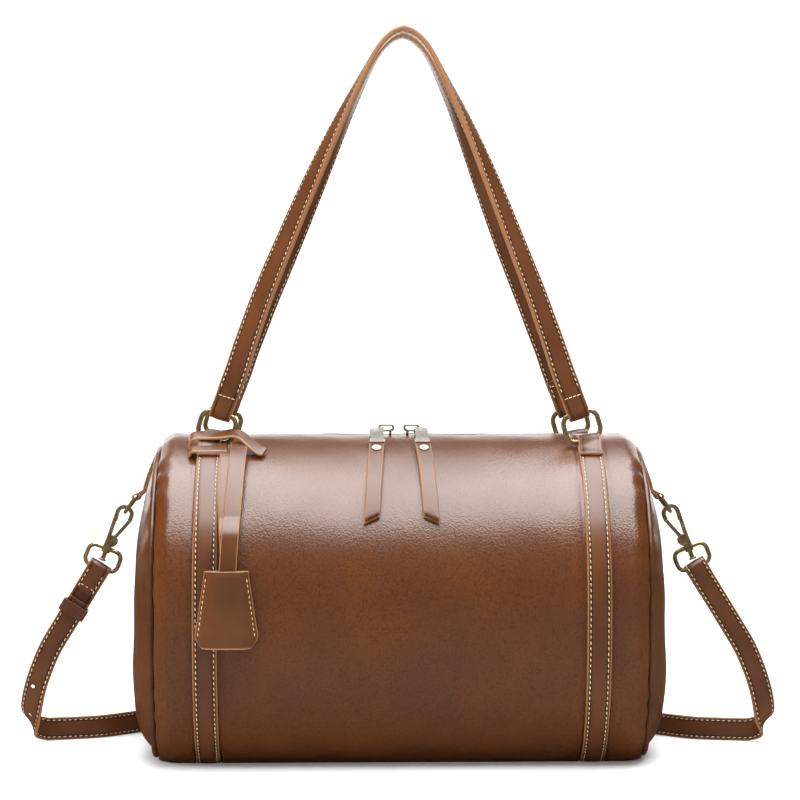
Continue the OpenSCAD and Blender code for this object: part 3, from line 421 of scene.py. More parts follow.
# %% [markdown]
# ## The leather barrel
# One sheet runs from the front edge of the zip round the base to its rear edge. It is drawn as two skins
# 2 mm apart, rolled in at the zip's mouth. It carries slow waves, pulls in along the sewn straps and
# bulges a little beside the end seams, where the turned seam gathers it.

# %% Barrel panel
ZIP_HALF, SLOT_HALF, AROUND, ROLL_IN = 130.0, 5.0, 240, 0.45
SLOW_WAVES, FINE_WAVES, SEW_PULL, SEAM_BULGE, GATHERS, ZIP_RIPPLE, SAG = 0.55, 0.22, 0.7, 1.1, 0.45, 0.45, 0.9
half = BODY_L / 2 - WELT - GAP / 2
near = np.concatenate([np.linspace(0, 108, 46), np.linspace(110, 129.5, 34), np.linspace(130, half, 30)])
xs = np.concatenate([-near[:0:-1], near])
ends = smoothstep(ZIP_HALF - 0.5, ZIP_HALF + 1.5, np.abs(xs))
mouth = SLOT_HALF * (1 - ends) + (GAP / 2 + 0.2) * ends
start = np.arcsin((mouth + 0.9) / BARREL_R)[:, None]
angle = start + (2 * np.pi - 2 * start) * np.linspace(0, 1, AROUND + 1)
X = np.repeat(xs[:, None], AROUND + 1, 1)


def hump(x, middle, spread, power=2):
    """Smooth hump of height 1: e to the power of minus the distance over the spread, to a power."""
    return np.exp(-(((x - middle) / spread) ** power))


def leather_rows(x, a, depth):
    """Rows of the barrel's skin at a depth under the outside, with its waves and seam pulls."""
    p = section(x, a, -depth)
    arc = np.where(a < np.pi, a, 2 * np.pi - a) * BARREL_R
    off_strap = np.abs(x) - STRAP_X
    waves = soft_waves(x, arc * np.sign(np.pi - a), SLOW_WAVES, 11)
    waves += soft_waves(x, arc * 0.25, FINE_WAVES, 5, 0.5)
    sew = -SEW_PULL * hump(np.abs(off_strap), 8.5, 2.2)
    bulge = SEAM_BULGE * hump(np.abs(x), 144.0, 5.0)
    gather = GATHERS * np.sin(arc / 3.4 + 1.7 * np.sin(arc / 11.0)) * smoothstep(138, 150, np.abs(x))
    zip_wave = ZIP_RIPPLE * np.sin(x / 13.0 + 0.8 * np.sin(x / 31.0)) * np.exp(-arc / 9.0)
    sag = -SAG * hump(arc, 60, 40) * np.cos(np.pi * np.clip(x / 115.0, -1, 1) / 2) ** 2
    free = smoothstep(0.6, 6.0, p[..., 2]) * (1 - hump(off_strap, 0, 7.0, 8))
    move = (waves + sew + bulge + gather + zip_wave + sag) * free
    return p + outward_of(section(x, a)) * move[..., None]


outer, inner = leather_rows(X, angle, 0.0), leather_rows(X, angle, LEATHER)
rims = []
for side, way in ((0, -1), (-1, 1)):
    rims.append([outer[:, side] * (1 - f) + inner[:, side] * f for f in (0.12, 0.5, 0.88)])
    for row, push in zip(rims[-1], (0.75, 1.0, 0.75)):
        row[:, 1] += way * push * ROLL_IN
front_rim, rear_rim = rims
full_outer = np.concatenate([np.stack(front_rim[1::-1], 1), outer, np.stack(rear_rim[:2], 1)], 1)
full_inner = np.concatenate([np.stack(front_rim[1:], 1), inner, np.stack(rear_rim[:0:-1], 1)], 1)
for rim, beside in ((0, 1), (-1, -2)):  # the rims of the two skins may not fall on one another
    full_inner[:, rim] += (full_inner[:, beside] - full_inner[:, rim]) * 0.01
barrel = two_skins("barrel_leather", full_outer, full_inner)
dress(barrel, "bag", "body_leather", "body leather", "barrel_panel")
print("barrel leather:", len(barrel.data.polygons), "faces")

# %% [markdown]
# ## End panels and welts
# Each end panel is a soft dome. Its skins are a square grid of points pressed into a disc, because wedges
# round a pole would pinch there. A welt, a cord wrapped in leather, hides the seam. It is a tube along the
# seam whose thickness wavers a little, as turned leather does.

# %% End panels
DOME_MID, DOME_POWER, DOME_RIPPLE = AXIS_Z * 0.78, 3.5, 0.9


def dome(side, at, x0, x1, grow, cells, ripple=0.0):
    """Domed skins inside the outline at station at: 1 minus a power of the radius, fuller at the base."""
    u, v = np.meshgrid(np.linspace(-1, 1, cells), np.linspace(-1, 1, cells), indexing="ij")
    du, dv = u * np.sqrt(1 - v * v / 2), v * np.sqrt(1 - u * u / 2)
    r = np.minimum(1, np.hypot(du, dv))
    a = np.arctan2(du, dv)
    edge = section(at, a, grow, channel=False)
    wave = ripple * (np.sin(9 * a + 2 * r) * 0.35 + np.sin(23 * a + 1.3) * smoothstep(0.72, 1, r) * 0.5)
    power = DOME_POWER + 3 * smoothstep(0.0, 0.9, -np.cos(a))
    skins = []
    for x in (x0, x1):
        out = x + DOME_H * (1 - r**power) + wave * smoothstep(0.25, 0.9, r)
        skins.append(np.stack([side * out, edge[..., 1] * r, DOME_MID + (edge[..., 2] - DOME_MID) * r], -1))
    return skins


for side, label in ((-1, "left"), (1, "right")):
    seam = BODY_L / 2
    panel = two_skins(f"{label}_end_leather",
                      *dome(side, seam, seam, seam - LEATHER, -2 * WELT + 0.5, 72, DOME_RIPPLE))
    dress(panel, "bag", "body_leather", "body leather", f"{label}_end_panel")
    a = np.linspace(0, 2 * np.pi, 260, endpoint=False)
    cord = section(seam - 0.1, a, -WELT, channel=False) * [side, 1, 1]
    swell = WELT + 0.1 * np.sin(a * 41) + 0.06 * np.sin(a * 97 + 1)
    welt = tube(f"{label}_welt", cord, swell, 14, closed=True)
    dress(welt, "bag", "body_leather", "welt leather", f"{label}_piping")
print("end panels and welts:", [made.name for made, look in worn[1:]])

# %% [markdown]
# ## The inside
# A closed zip hides the lining, the base board and the pocket, so they are drawn plainly but in place. The
# cloth follows the leather's own section at a depth under it, and the board stays as the CAD has it.

# %% Linings and pocket
LINING_IN = STRAP_T + LEATHER + 2 * GAP + 2.0 + GAP
LINING_HALF, LINING_SLOT = BODY_L / 2 - LEATHER - 12.5, 6.0
POCKET_HALF, POCKET_IN = 75.0, 2.2


def cloth_sheet(name, x, a, depth):
    """Sheet of cloth 1 mm thick that follows the section at a depth under it."""
    x, a = np.meshgrid(x, a, indexing="ij")
    return two_skins(name, section(x, a, -depth, False), section(x, a, -depth - 1, False))


lining_start = np.arcsin(LINING_SLOT / BARREL_R)
lining_a = lining_start + (2 * np.pi - 2 * lining_start) * np.linspace(0, 1, 61)
lining = cloth_sheet("barrel_cloth", np.linspace(-LINING_HALF, LINING_HALF, 24), lining_a, LINING_IN)
dress(lining, "bag", "lining_cloth", "lining", "barrel_lining")
for side, label in ((-1, "left"), (1, "right")):
    skins = dome(side, LINING_HALF, LINING_HALF + 1.15, LINING_HALF + 0.15, -LINING_IN, 20)
    dress(two_skins(f"{label}_end_cloth", *skins), "bag", "lining_cloth", "lining", f"{label}_end_lining")
pocket = cloth_sheet("slip_pocket_cloth", np.linspace(-POCKET_HALF, POCKET_HALF, 20),
                     np.radians(np.linspace(66, 118, 20)), LINING_IN + POCKET_IN)
dress(pocket, "bag", "lining_cloth", "lining", "slip_pocket")
print("inside pieces:", [made.name for made, look in worn if look == "lining"])

# %% [markdown]
# ## Body straps
# Each strap runs flat round the barrel. At both ends it passes under a ring's bar, turns over it and comes
# back down on top of itself. Its loops are tipped a little, as the rings in them lean.

# %% Body straps
LOOP_DEG, LOOP_TIP = 20.4, math.radians(9)
LOOP_FROM, LOOP_FULL = 0.195, 0.201


def polar(rho, a):
    """[y, z] at radius rho and angle a forwards of the top, in degrees."""
    a = np.radians(a)
    return np.stack([-rho * np.sin(a), AXIS_Z + rho * np.cos(a)], -1)


def body_strap_path(x):
    """Path of a body strap: half worked out at the front and mirrored to the rear."""
    run = section(x, np.linspace(np.pi, np.radians(LOOP_DEG), 150), GAP + STRAP_T / 2)[:, 1:] * [-1, 1]
    er = polar(1.0, LOOP_DEG) - [0, AXIS_Z]
    ef = np.array([-er[1], er[0]])
    turn = np.radians(np.linspace(0, 230, 22)[1:])[:, None]
    r = BARREL_R + GAP + STRAP_T / 2
    hook = [LOOP_Y, LOOP_Z] + (LOOP_RHO - r) * (-np.cos(turn) * er - np.sin(turn) * ef)
    under = [polar(rho, a) for rho, a in ((105.9, 24.4), (104.55, 27.2), (104.45, 28.6), (104.45, 30.2))]
    front = np.concatenate([run, hook, spline([hook[-1], *under], 5)[1:]])
    yz = np.concatenate([front[::-1] * [-1, 1], front[1:]])
    return np.column_stack([np.full(len(yz), x), yz])


def tilt_loops(made, x):
    """Tips the loops of the strap at x with their rings: height grows with the share of the way outwards."""
    co = vertex_places(made.data)
    up = smoothstep(LOOP_FROM, LOOP_FULL, co[:, 2])
    co[:, 2] += math.copysign(1, x) * (co[:, 0] - x * MM) * math.tan(LOOP_TIP) * up
    made.data.vertices.foreach_set("co", co.ravel())
    made.data.update()


threads = []
for x, label in ((-STRAP_X, "left"), (STRAP_X, "right")):
    path, = resample(body_strap_path(x), 1.3)
    at = np.arange(len(path))
    width = STRAP_W - 1.2 * (hump(at, 14, 7.0) + hump(at, len(path) - 15, 7.0))  # drawn in where it turns
    made = strap_mesh(f"{label}_body_strap_leather", path, [1, 0, 0], width, STRAP_T)
    tilt_loops(made, x)
    dress(made, "bag", "trim_leather", "strap leather", f"{label}_body_strap")
    threads += [stitch_line(path[26:-26], [1, 0, 0], off, -STRAP_T / 2) for off in (-5.45, 5.45)]
thread_rows("body_strap_thread", threads, "bag")
print("dressed so far:", len(worn))

# %% [markdown]
# ## Handle rings
# Four rings of round wire, bent to a rounded rectangle, stand in the body straps' folds. Each leans
# inwards at its top, where the handle draws it. A tube round a closed outline keeps the wire equally thick
# in its bends.


# %% Rings
def rounded_loop(w, h, corner, per=10):
    """Closed outline of a rounded rectangle, w by h between its middles, as [u, v]."""
    pts = []
    for k, (sx, sy) in enumerate(((1, 1), (-1, 1), (-1, -1), (1, -1))):
        a = np.linspace(k * np.pi / 2, (k + 1) * np.pi / 2, per)
        bend = np.column_stack([np.cos(a), np.sin(a)]) * corner
        pts.append(bend + [sx * (w / 2 - corner), sy * (h / 2 - corner)])
    return np.concatenate(pts)


def upright(uv, at=(0, 0, 0)):
    """Points of an outline [u, v] that stands across the bag at a place."""
    return np.column_stack([at[0] + uv[:, 0], np.full(len(uv), at[1]), at[2] + uv[:, 1]])


RING_BEND, RING_TILT, RING_NARROWER, RING_LOWER = 6.0, math.radians(16), 1.4, 2.2
RING_RISE = RING_TOP - LOOP_Z - RING_LOWER
for face, fy in (("front", 1), ("rear", -1)):
    for side, sx in (("left", -1), ("right", 1)):
        uv = rounded_loop(RING_W - 2 * RING_WIRE - RING_NARROWER, RING_RISE, RING_BEND) + [0, RING_RISE / 2]
        u = uv[:, 0] * math.cos(RING_TILT) - sx * uv[:, 1] * math.sin(RING_TILT)
        v = uv[:, 1] * math.cos(RING_TILT) + sx * uv[:, 0] * math.sin(RING_TILT)
        path = upright(np.column_stack([u, v]), (sx * RING_X, fy * LOOP_Y, LOOP_Z))
        ring = tube(f"{face}_{side}_ring_brass", path, RING_WIRE, 16, closed=True)
        dress(ring, f"{face}_{side}_ring", "old_brass", "old brass", f"{face}_{side}_ring")
print("rings stand at x", RING_X, "with their upper bars at z", round(RING_TOP, 1))

# %% [markdown]
# ## Handles
# A handle rises from its ring facing forward, and turns on the way up until it lies flat over the
# shoulder. Each end goes round the ring's upper bar and is sewn to the handle's inner side. A spline gives
# the left half, which is mirrored, and the whole is then moved a little to match the photo.

# %% Handles
HANDLE_X, HANDLE_T, HANDLE_TOP, HANDLE_GAP, HANDLE_FOOT, REAR_DRAW = 116.0, 3.0, 465.5, 29.0, 3.4, 3.0
HANDLE_SHIFT, HANDLE_BOW = 3.0, 2.0  # to the right at the top, and outwards lower down
handle_shares = np.array([  # shares of the half width, the height, the way back to the middle and the turn
    [0.972, 0.032, 0.03, 0.03], [0.93, 0.06, 0.055, 0.08], [0.872, 0.12, 0.11, 0.18], [0.785, 0.22, 0.2, 0.28],
    [0.68, 0.35, 0.33, 0.36], [0.581, 0.47, 0.45, 0.46], [0.478, 0.595, 0.575, 0.57], [0.412, 0.675, 0.66, 0.66],
    [0.347, 0.75, 0.74, 0.75], [0.281, 0.82, 0.81, 0.84], [0.187, 0.91, 0.905, 0.94],
    [0.125, 0.958, 0.955, 0.98], [0.06, 0.988, 0.985, 1], [0, 1, 1, 1]])
FOLD_T, LAYER, FOLD_TILT, FOOT_SLOPE = 2.6, 1.38, math.radians(17), 0.37


def handle_half(rear):
    """Left half of a handle, from its fold's tail to the top: points, ways across, width and thickness."""
    rise = HANDLE_TOP - HANDLE_T / 2 - RING_TOP - HANDLE_FOOT
    lean = -LOOP_Y - HANDLE_GAP / 2
    s = spline(handle_shares, 10)
    bar = np.array([-RING_X, LOOP_Y, LOOP_Z])
    bar = bar + [RING_RISE * math.sin(RING_TILT), 0, RING_RISE * math.cos(RING_TILT)]
    z = RING_TOP + HANDLE_FOOT + rise * s[:, 1]
    foot = bar[0] + FOOT_SLOPE * (z - bar[2])
    drawn = -HANDLE_X * s[:, 0] + REAR_DRAW * 16 * s[:, 1] ** 2 * (1 - s[:, 1]) ** 2 * rear
    x = foot + (drawn - foot) * smoothstep(0.08, 0.2, s[:, 1])
    y = LOOP_Y + lean * s[:, 2] - LAYER * (1 - smoothstep(0.05, 0.2, s[:, 1]))
    run = np.column_stack([x, y, z])
    up_fold = np.array([math.sin(FOLD_TILT), 0, math.cos(FOLD_TILT)])
    up = unit(np.array([FOOT_SLOPE, 0, 1.0]))
    at = lambda y, h: bar + [0, y, 0] + h * up
    r = RING_WIRE + 0.08 + FOLD_T / 2
    turn = np.radians(np.linspace(0, 180, 16))[:, None]
    fold = bar + [0, r, 0] * np.cos(turn) - r * np.sin(turn) * up_fold
    tail = spline([at(LAYER, 21), at(LAYER, 15), at(LAYER, 10), at(1.9, 5.5), fold[0]], 6)[:-1]
    climb = spline([fold[-1], at(-2.3, 3.6), at(-1.7, 7.2), run[0]], 5)[1:-1]
    points = np.concatenate([tail, fold, climb, run])
    flat_n = len(points) - len(run)
    turned = np.concatenate([np.zeros(flat_n), s[:, 3] * np.pi / 2])[:, None]
    free = np.concatenate([np.zeros(flat_n), smoothstep(0.03, 0.12, s[:, 1])])[:, None]
    fixed = np.array([-math.cos(FOLD_TILT + 0.03), 0, math.sin(FOLD_TILT + 0.03)])
    out = unit(fixed * (1 - free) + unit(-np.cross([0.0, 1.0, 0.0], tangents(points))) * free)
    across = np.cos(turned) * out + np.sin(turned) * [0, 1, 0]
    wide = np.repeat([14.6, 13.6, 14.4, STRAP_W], [len(part) for part in (tail, fold, climb, run)])
    full = np.concatenate([np.zeros(flat_n), smoothstep(0.02, 0.1, s[:, 1])])
    thick = FOLD_T + (HANDLE_T + 0.4 - FOLD_T) * full
    return points, across, np.column_stack([wide, thick])


def with_mirror(half, flip):
    """A left half and its mirror image in one run."""
    return np.concatenate([half, half[::-1][1:] * flip])


for face, fy in (("front", 1), ("rear", -1)):
    p, d, wt = handle_half(fy < 0)
    path = with_mirror(p, [-1, 1, 1]) * [1, fy, 1]
    across = with_mirror(d, [-1, 1, 1]) * [1, fy, 1]
    high = (path[:, 2] - RING_TOP) / (HANDLE_TOP - RING_TOP)
    bow = HANDLE_BOW * np.sign(path[:, 0]) * smoothstep(0.1, 0.3, high) * smoothstep(0.9, 0.5, high)
    path[:, 0] += HANDLE_SHIFT * smoothstep(0.2, 1.0, high) + bow
    path, across, wt = resample(path, 1.6, across, with_mirror(wt, [1, 1]))
    made = strap_mesh(f"{face}_handle_leather", path, across, wt[:, 0], wt[:, 1], groove=0.28)
    dress(made, f"{face}_handle", "trim_leather", "strap leather", f"{face}_handle")
    n, low = len(path), 26
    edges = [(off, lift) for off in (-5.5, 5.5) for lift in (1.66, -1.66)]
    rows = [stitch_line(path[low:-low], across[low:-low], off, lift) for off, lift in edges]
    for k in (slice(0, 9), slice(-9, None)):
        rows += [stitch_line(path[k], across[k], off, 1.3 * fy, skip=(0.5, 0)) for off in (-5.3, 5.3)]
    for k, tail_at in ((low, 2), (n - 1 - low, n - 3)):
        rows.append(across_row(path[k] - [0, 1.62 * fy, 0], across[k], [0, -fy, 0], 11, 4))
        rows.append(across_row(path[tail_at] + [0, 1.32 * fy, 0], across[tail_at], [0, fy, 0], 10.8, 3))
    thread_rows(f"{face}_handle_thread", rows, f"{face}_handle")
print("handles reach z", HANDLE_TOP)

# %% [markdown]
# ## Side tabs and side rings
# A folded tab comes out of each end's upper seam, follows the dome down and holds a D ring in its fold. The
# tab is the strap's profile swept along its fold, and the ring is a tube.

# %% Side tabs
SIDE_BOW, SIDE_LEAN = np.array([-177.1, 153.2]), math.radians(35.7)
SIDE_DEPTH, SIDE_W, SIDE_WIRE, SIDE_CORNER = 13.1, 20.4, 1.2, 1.6
TAB_T, TAB_INNER, TAB_OUTER, TAB_TURN, TAB_PITCH = 1.42, 0.72, 2.15, 2.2, 3.2
SIDE_WAY = np.array([math.sin(SIDE_LEAN), math.cos(SIDE_LEAN)])
SIDE_BAR = SIDE_BOW + SIDE_DEPTH * SIDE_WAY
TAB_HIGH = AXIS_Z + BARREL_R - SHOULDER_DROP * float(shoulder(BODY_L / 2)) - 2 * WELT - GAP


def end_x(z):
    """How far out the left end's dome stands at height z: its height times 1 minus a power of the share."""
    return -BODY_L / 2 - DOME_H * (1 - ((z - DOME_MID) / (TAB_HIGH - DOME_MID)) ** DOME_POWER)


def side_tab_path():
    """[x, z] of the left tab: down the inner layer, round the ring's bar and up the outer layer."""
    z = np.linspace(TAB_HIGH + 0.8, SIDE_BAR[1] + 3.5, 10)
    inner = np.column_stack([end_x(z) - GAP - TAB_INNER, z])
    a = np.radians(np.linspace(0, -180, 12))
    turn = SIDE_BAR + TAB_TURN * np.column_stack([np.cos(a), np.sin(a)])
    outer = np.column_stack([end_x(z) - GAP - TAB_OUTER, z])[::-1]
    return spline(np.concatenate([inner, turn, outer]), 3)


def d_ring(bar, way):
    """Closed D on the XZ direction way from its bar: two tight corners and a half round bow."""
    half, corner = SIDE_W / 2 - SIDE_WIRE, SIDE_CORNER
    a = np.linspace(0, np.pi / 2, 6)
    bend = np.column_stack([corner - corner * np.cos(a), half - corner + corner * np.sin(a)])
    b = np.linspace(np.pi / 2, -np.pi / 2, 30)
    bow = np.column_stack([SIDE_DEPTH - half + half * np.cos(b), half * np.sin(b)])
    flat = np.column_stack([np.zeros(7), np.linspace(-half + corner, half - corner, 9)[1:-1]])
    ly = np.concatenate([flat, bend, bow, (bend * [1, -1])[::-1]])
    return np.column_stack([bar[0] - ly[:, 0] * way[0], ly[:, 1], bar[1] - ly[:, 0] * way[1]])


for sx, label in ((-1, "left"), (1, "right")):
    path, = resample(upright(side_tab_path() * [-sx, 1]), 0.9)
    made = strap_mesh(f"{label}_side_tab_leather", path, [0, 1, 0], STRAP_W - 0.2, TAB_T, groove=0.12)
    dress(made, "bag", "trim_leather", "strap leather", f"{label}_side_tab")
    outer = path[len(path) // 2 + 7:]
    rows = [stitch_line(outer, [0, 1, 0], off, -0.75 * sx, TAB_PITCH) for off in (-5.4, 5.4)]
    thread_rows(f"{label}_side_tab_thread", rows, "bag", length=2.1, thick=0.5)
    bow = d_ring(SIDE_BAR, SIDE_WAY) * [-sx, 1, 1]
    ring = tube(f"{label}_side_ring_brass", bow, SIDE_WIRE, 14, closed=True)
    dress(ring, f"{label}_side_ring", "old_brass", "old brass", f"{label}_side_ring")
print("side rings hang at", np.round(SIDE_BAR, 1))

# %% [markdown]
# ## Metal pieces from the CAD
# The hooks, their gates, the sliders, clamps, rivets and teeth keep their CAD shape, and so does the
# strap's keeper. A copy of each mesh is welded, its flat faces are joined, and its edges are rounded as
# polishing rounds them.


# %% Refined metal
SHARP = math.radians(32)


def refined(node, name, bevel, segments=2):
    """Welded copy of a CAD node with its sharp edges rounded by bevel, in millimetres."""
    source = bpy.data.objects[node]
    mesh = source.data.copy()
    mesh.name = name
    mesh.transform(source.matrix_world)
    mesh.materials.clear()
    bm = bmesh.new()
    bm.from_mesh(mesh)
    bmesh.ops.remove_doubles(bm, verts=bm.verts, dist=2e-6)
    bmesh.ops.dissolve_limit(bm, angle_limit=math.radians(1), verts=bm.verts, edges=bm.edges)
    bm.to_mesh(mesh)
    bm.free()
    if "custom_normal" in mesh.attributes:
        mesh.attributes.remove(mesh.attributes["custom_normal"])
    mesh.polygons.foreach_set("use_smooth", np.full(len(mesh.polygons), True))
    mesh.set_sharp_from_angle(angle=SHARP)
    made = bpy.data.objects.new(name, mesh)
    bpy.context.scene.collection.objects.link(made)
    round_off = made.modifiers.new("Rounded edges", "BEVEL")
    round_off.width, round_off.segments, round_off.limit_method = bevel * MM, segments, "ANGLE"
    round_off.angle_limit, round_off.harden_normals = SHARP, True
    return made


for label in ("left", "right"):
    for node, body, bevel in (("clasp_hook", "clasp", 0.85), ("clasp_gate", "gate", 0.5),
                              ("gate_pin", "clasp", 0.15), ("swivel_stud", "clasp", 0.3)):
        made = refined(f"{label}_{node}", f"{label}_{node}_brass", bevel, 3)
        dress(made, f"{label}_{body}", "old_brass", "old brass", f"{label}_{node}")
    for node, body, slot, look, bevel in (
            ("slider", "slider", "zip_metal", "gunmetal", 0.35),
            ("pull_clamp", "pull", "zip_metal", "gunmetal", 0.2),
            ("pull_rivet", "pull", "nickel", "nickel", 0.45)):
        made = refined(f"{label}_{node}", f"{label}_{node}_metal", bevel)
        dress(made, f"{label}_{body}", slot, look, f"{label}_{node}")
for face in ("front", "rear"):
    teeth = f"zip_teeth_{face}"
    dress(refined(teeth, f"{teeth}_metal", 0.14, 1), "bag", "zip_metal", "gunmetal", teeth)
keeper = refined("strap_keeper", "strap_keeper_leather", 0.4)
dress(keeper, "keeper", "trim_leather", "keeper leather", "strap_keeper")
print("dressed so far:", len(worn))

# %% [markdown]
# ## Crossbody strap
# The long strap's end is folded round the right clasp's eye. It drops to the floor, turns back on its edge,
# runs round behind the bag and rises on the left to its tongue. The short strap holds the left eye. The run
# is a spline through shares of its reach, so that each bend can be moved alone.

# %% Crossbody strap
LONG_T, LONG_LAYER, STRAIGHT = 2.6, 1.45, 46.0
CLASP_LEAN, DROP_LEAN = math.radians(21.5), math.radians(31.5)
REACH, BACK, TONGUE_AT, FOLD_TAIL = 238.0, 135.0, 25.0, 18.0
HOOK_L, HOOK_ASIDE, EYE_BELOW, EYE_W, EYE_H, EYE_BEND, EYE_WIRE = 29.25, 2.6, 10.5, 22.0, 13.5, 4.6, 1.45
LEAN_WAY = np.array([math.sin(CLASP_LEAN), math.cos(CLASP_LEAN)])
ASIDE_WAY = np.array([LEAN_WAY[1], -LEAN_WAY[0]])
EYE = SIDE_BOW - HOOK_L * LEAN_WAY - HOOK_ASIDE * ASIDE_WAY - EYE_BELOW * LEAN_WAY
DROP = np.array([-math.sin(DROP_LEAN), -math.cos(DROP_LEAN)])
FOLD_MID = 1.3 + 0.08 + LONG_T / 2
strap_shares = np.array([  # shares of the reach, the way back and the eye's height, and how flat it hangs
    [0.955, 0.02, 0.53, 0.95], [0.99, 0.05, 0.35, 0.85], [1.008, 0.095, 0.19, 0.62], [1.005, 0.165, 0.1, 0.35],
    [0.967, 0.218, 0, 0.1], [0.91, 0.245, 0, 0], [0.83, 0.29, 0, 0], [0.76, 0.39, 0, 0], [0.66, 0.55, 0, 0],
    [0.54, 0.7, 0, 0], [0.38, 0.86, 0, 0], [0.2, 0.965, 0, 0], [0, 1, 0, 0]])


def dropped(y, down):
    """Points in the left drop's plane: y forwards or back and down from the eye, with the way across."""
    down = np.atleast_1d(down)
    xz = EYE + DROP * down[:, None]
    return np.column_stack([xz[:, 0], np.broadcast_to(y, down.shape), xz[:, 1], np.ones(len(down))])


def strap_side(start, near):
    """One side from its start below the eye to the middle of the back: x, y, z and how flat it hangs.

    The depth is its share to the power of near, so a larger near keeps the run on the floor further forward.
    """
    drop = dropped(-LONG_LAYER, start + (STRAIGHT - start) * np.array([0, 0.5, 0.85, 1]))
    s = strap_shares
    back = np.column_stack([-REACH * s[:, 0], BACK * s[:, 1] ** near - LONG_LAYER * s[:, 3],
                            np.maximum(STRAP_W / 2, EYE[1] * s[:, 2]), s[:, 3]])
    return spline(np.concatenate([drop, back]), 10)


def eye_turn(front, rear):
    """Fold round the eye, from front mm down the front layer to rear mm down the rear one."""
    a = np.radians(np.linspace(0, 180, 15))
    over = dropped(-FOLD_MID * np.cos(a), -FOLD_MID * np.sin(a))
    fore = [dropped(-LONG_LAYER, [front, 11, 8]), dropped(0.25 - FOLD_MID, 3.5), over[:1]]
    aft = [over[-1:], dropped(FOLD_MID - 0.25, 3.5), dropped(LONG_LAYER, [8, 11, rear])]
    return np.concatenate([spline(np.concatenate(fore), 5)[:-1], over, spline(np.concatenate(aft), 5)[1:]])


def band_way(w, side):
    """Way across the band: square to the drop where it hangs flat, upright where it stands on its edge."""
    up = -math.sin(DROP_LEAN) * w - (1 - w) * 0.7
    return unit(np.column_stack([side * math.cos(DROP_LEAN) * w, np.zeros(len(w)), up]))


left, right = strap_side(TONGUE_AT, 1.0), strap_side(FOLD_TAIL - 6, 1.4)
fold = eye_turn(FOLD_TAIL - 7, FOLD_TAIL)
right = np.concatenate([fold[::-1], right[1:]])
points = np.concatenate([left[:, :3], (right[:, :3] * [-1, 1, 1])[::-1][1:]])
across = np.concatenate([band_way(left[:, 3], 1), band_way(right[:, 3], -1)[::-1][1:]])
upright_share = np.abs(across[:, 2])
half_high = upright_share * STRAP_W / 2 + np.sqrt(np.maximum(0, 1 - upright_share**2)) * LONG_T / 2
points[:, 2] = np.maximum(half_high + 0.05, points[:, 2])
points, across = resample(points, 1.6, across)
long_strap = strap_mesh("long_strap_leather", points, across, STRAP_W, LONG_T)
dress(long_strap, "crossbody_strap", "trim_leather", "strap leather", "long_strap")
short_path, = resample(eye_turn(FOLD_TAIL, STRAIGHT)[:, :3], 1.2)
drop_across = [math.cos(DROP_LEAN), 0, -math.sin(DROP_LEAN)]
short_strap = strap_mesh("short_strap_leather", short_path, drop_across, STRAP_W, LONG_T)
dress(short_strap, "crossbody_strap", "trim_leather", "strap leather", "short_strap")
rows = [stitch_line(points, across, off, lift) for off in (-5.5, 5.5) for lift in (1.3, -1.3)]
rows += [stitch_line(short_path[:14], drop_across, off, -1.3, skip=(0.5, 0)) for off in (-5.3, 5.3)]
rows.append(across_row(short_path[3] - [0, 1.35, 0], drop_across, [0, -1, 0], 10.8, 3))
thread_rows("crossbody_thread", rows, "crossbody_strap")
uv = rounded_loop(EYE_W, EYE_H, EYE_BEND) + [0, EYE_H / 2]
xz = EYE + uv[:, :1] * ASIDE_WAY + uv[:, 1:] * LEAN_WAY
for label, sx in (("left", 1), ("right", -1)):
    eye = tube(f"{label}_clasp_eye_brass", upright(xz * [sx, 1]), EYE_WIRE, 14, closed=True)
    dress(eye, "crossbody_strap", "old_brass", "old brass", f"{label}_clasp_eye")
print("crossbody strap:", len(points), "stations,", round(1.6 * (len(points) - 1)), "mm along the long strap")

# %% [markdown]
# ## Holes in the strap
# Two adjusting holes are cut through the long strap on the left. Round rods cut them as Boolean modifiers,
# and the cut mesh is kept, so that the rods can be removed.


# %% Strap holes
HOLE_R = 1.25
hole_shares = np.array([[1.0, 0.335], [1.013, 0.166]])


def cut_holes(made, places, radius):
    """Cuts round holes along Y through a piece at places [x, z], and keeps the cut mesh."""
    rods = []
    for k, (x, z) in enumerate(places):
        line = np.array([[x, y, z] for y in np.linspace(-12, 60, 4)])
        rods.append(tube(f"hole_rod_{k}", line, radius, 20))
    for rod in rods:
        cut = made.modifiers.new("Hole", "BOOLEAN")
        cut.operation, cut.object, cut.solver = "DIFFERENCE", rod, "EXACT"
    bpy.context.view_layer.update()
    cut_mesh = bpy.data.meshes.new_from_object(made.evaluated_get(bpy.context.evaluated_depsgraph_get()))
    made.modifiers.clear()
    made.data = cut_mesh
    for rod in rods:
        bpy.data.objects.remove(rod)


hole_places = [(-REACH * a, EYE[1] * b) for a, b in hole_shares]
cut_holes(long_strap, hole_places, HOLE_R)
print("holes at", np.round(hole_places, 1).tolist(), "faces", len(long_strap.data.polygons))

# %% [markdown]
# ## The zip
# Two woven tapes lie under the edges of the slot. The sliders' pulls hang over the front: a wire ring, a
# clamp and two layers of leather whose ends are cut at a slant. The leather follows the barrel's round, so
# its path is given by radius and angle.

# %% Zip tapes and pulls
for face in ("front", "rear"):
    low, high = (np.array(c) * 1000 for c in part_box(f"zip_tape_{face}"))
    xs, ys = np.linspace(low[0], high[0], 200), np.linspace(low[1], high[1], 9)
    X, Y = np.meshgrid(xs, ys, indexing="ij")
    ruffle = 0.06 * np.sin(X * 0.9) * np.sin(Y * 2.1)
    upper = np.stack([X, Y, high[2] - 0.1 + ruffle], -1)
    made = two_skins(f"zip_tape_{face}_cloth", upper, upper - [0, 0, 0.6])
    dress(made, "bag", "zip_tape", "zip tape", f"zip_tape_{face}")

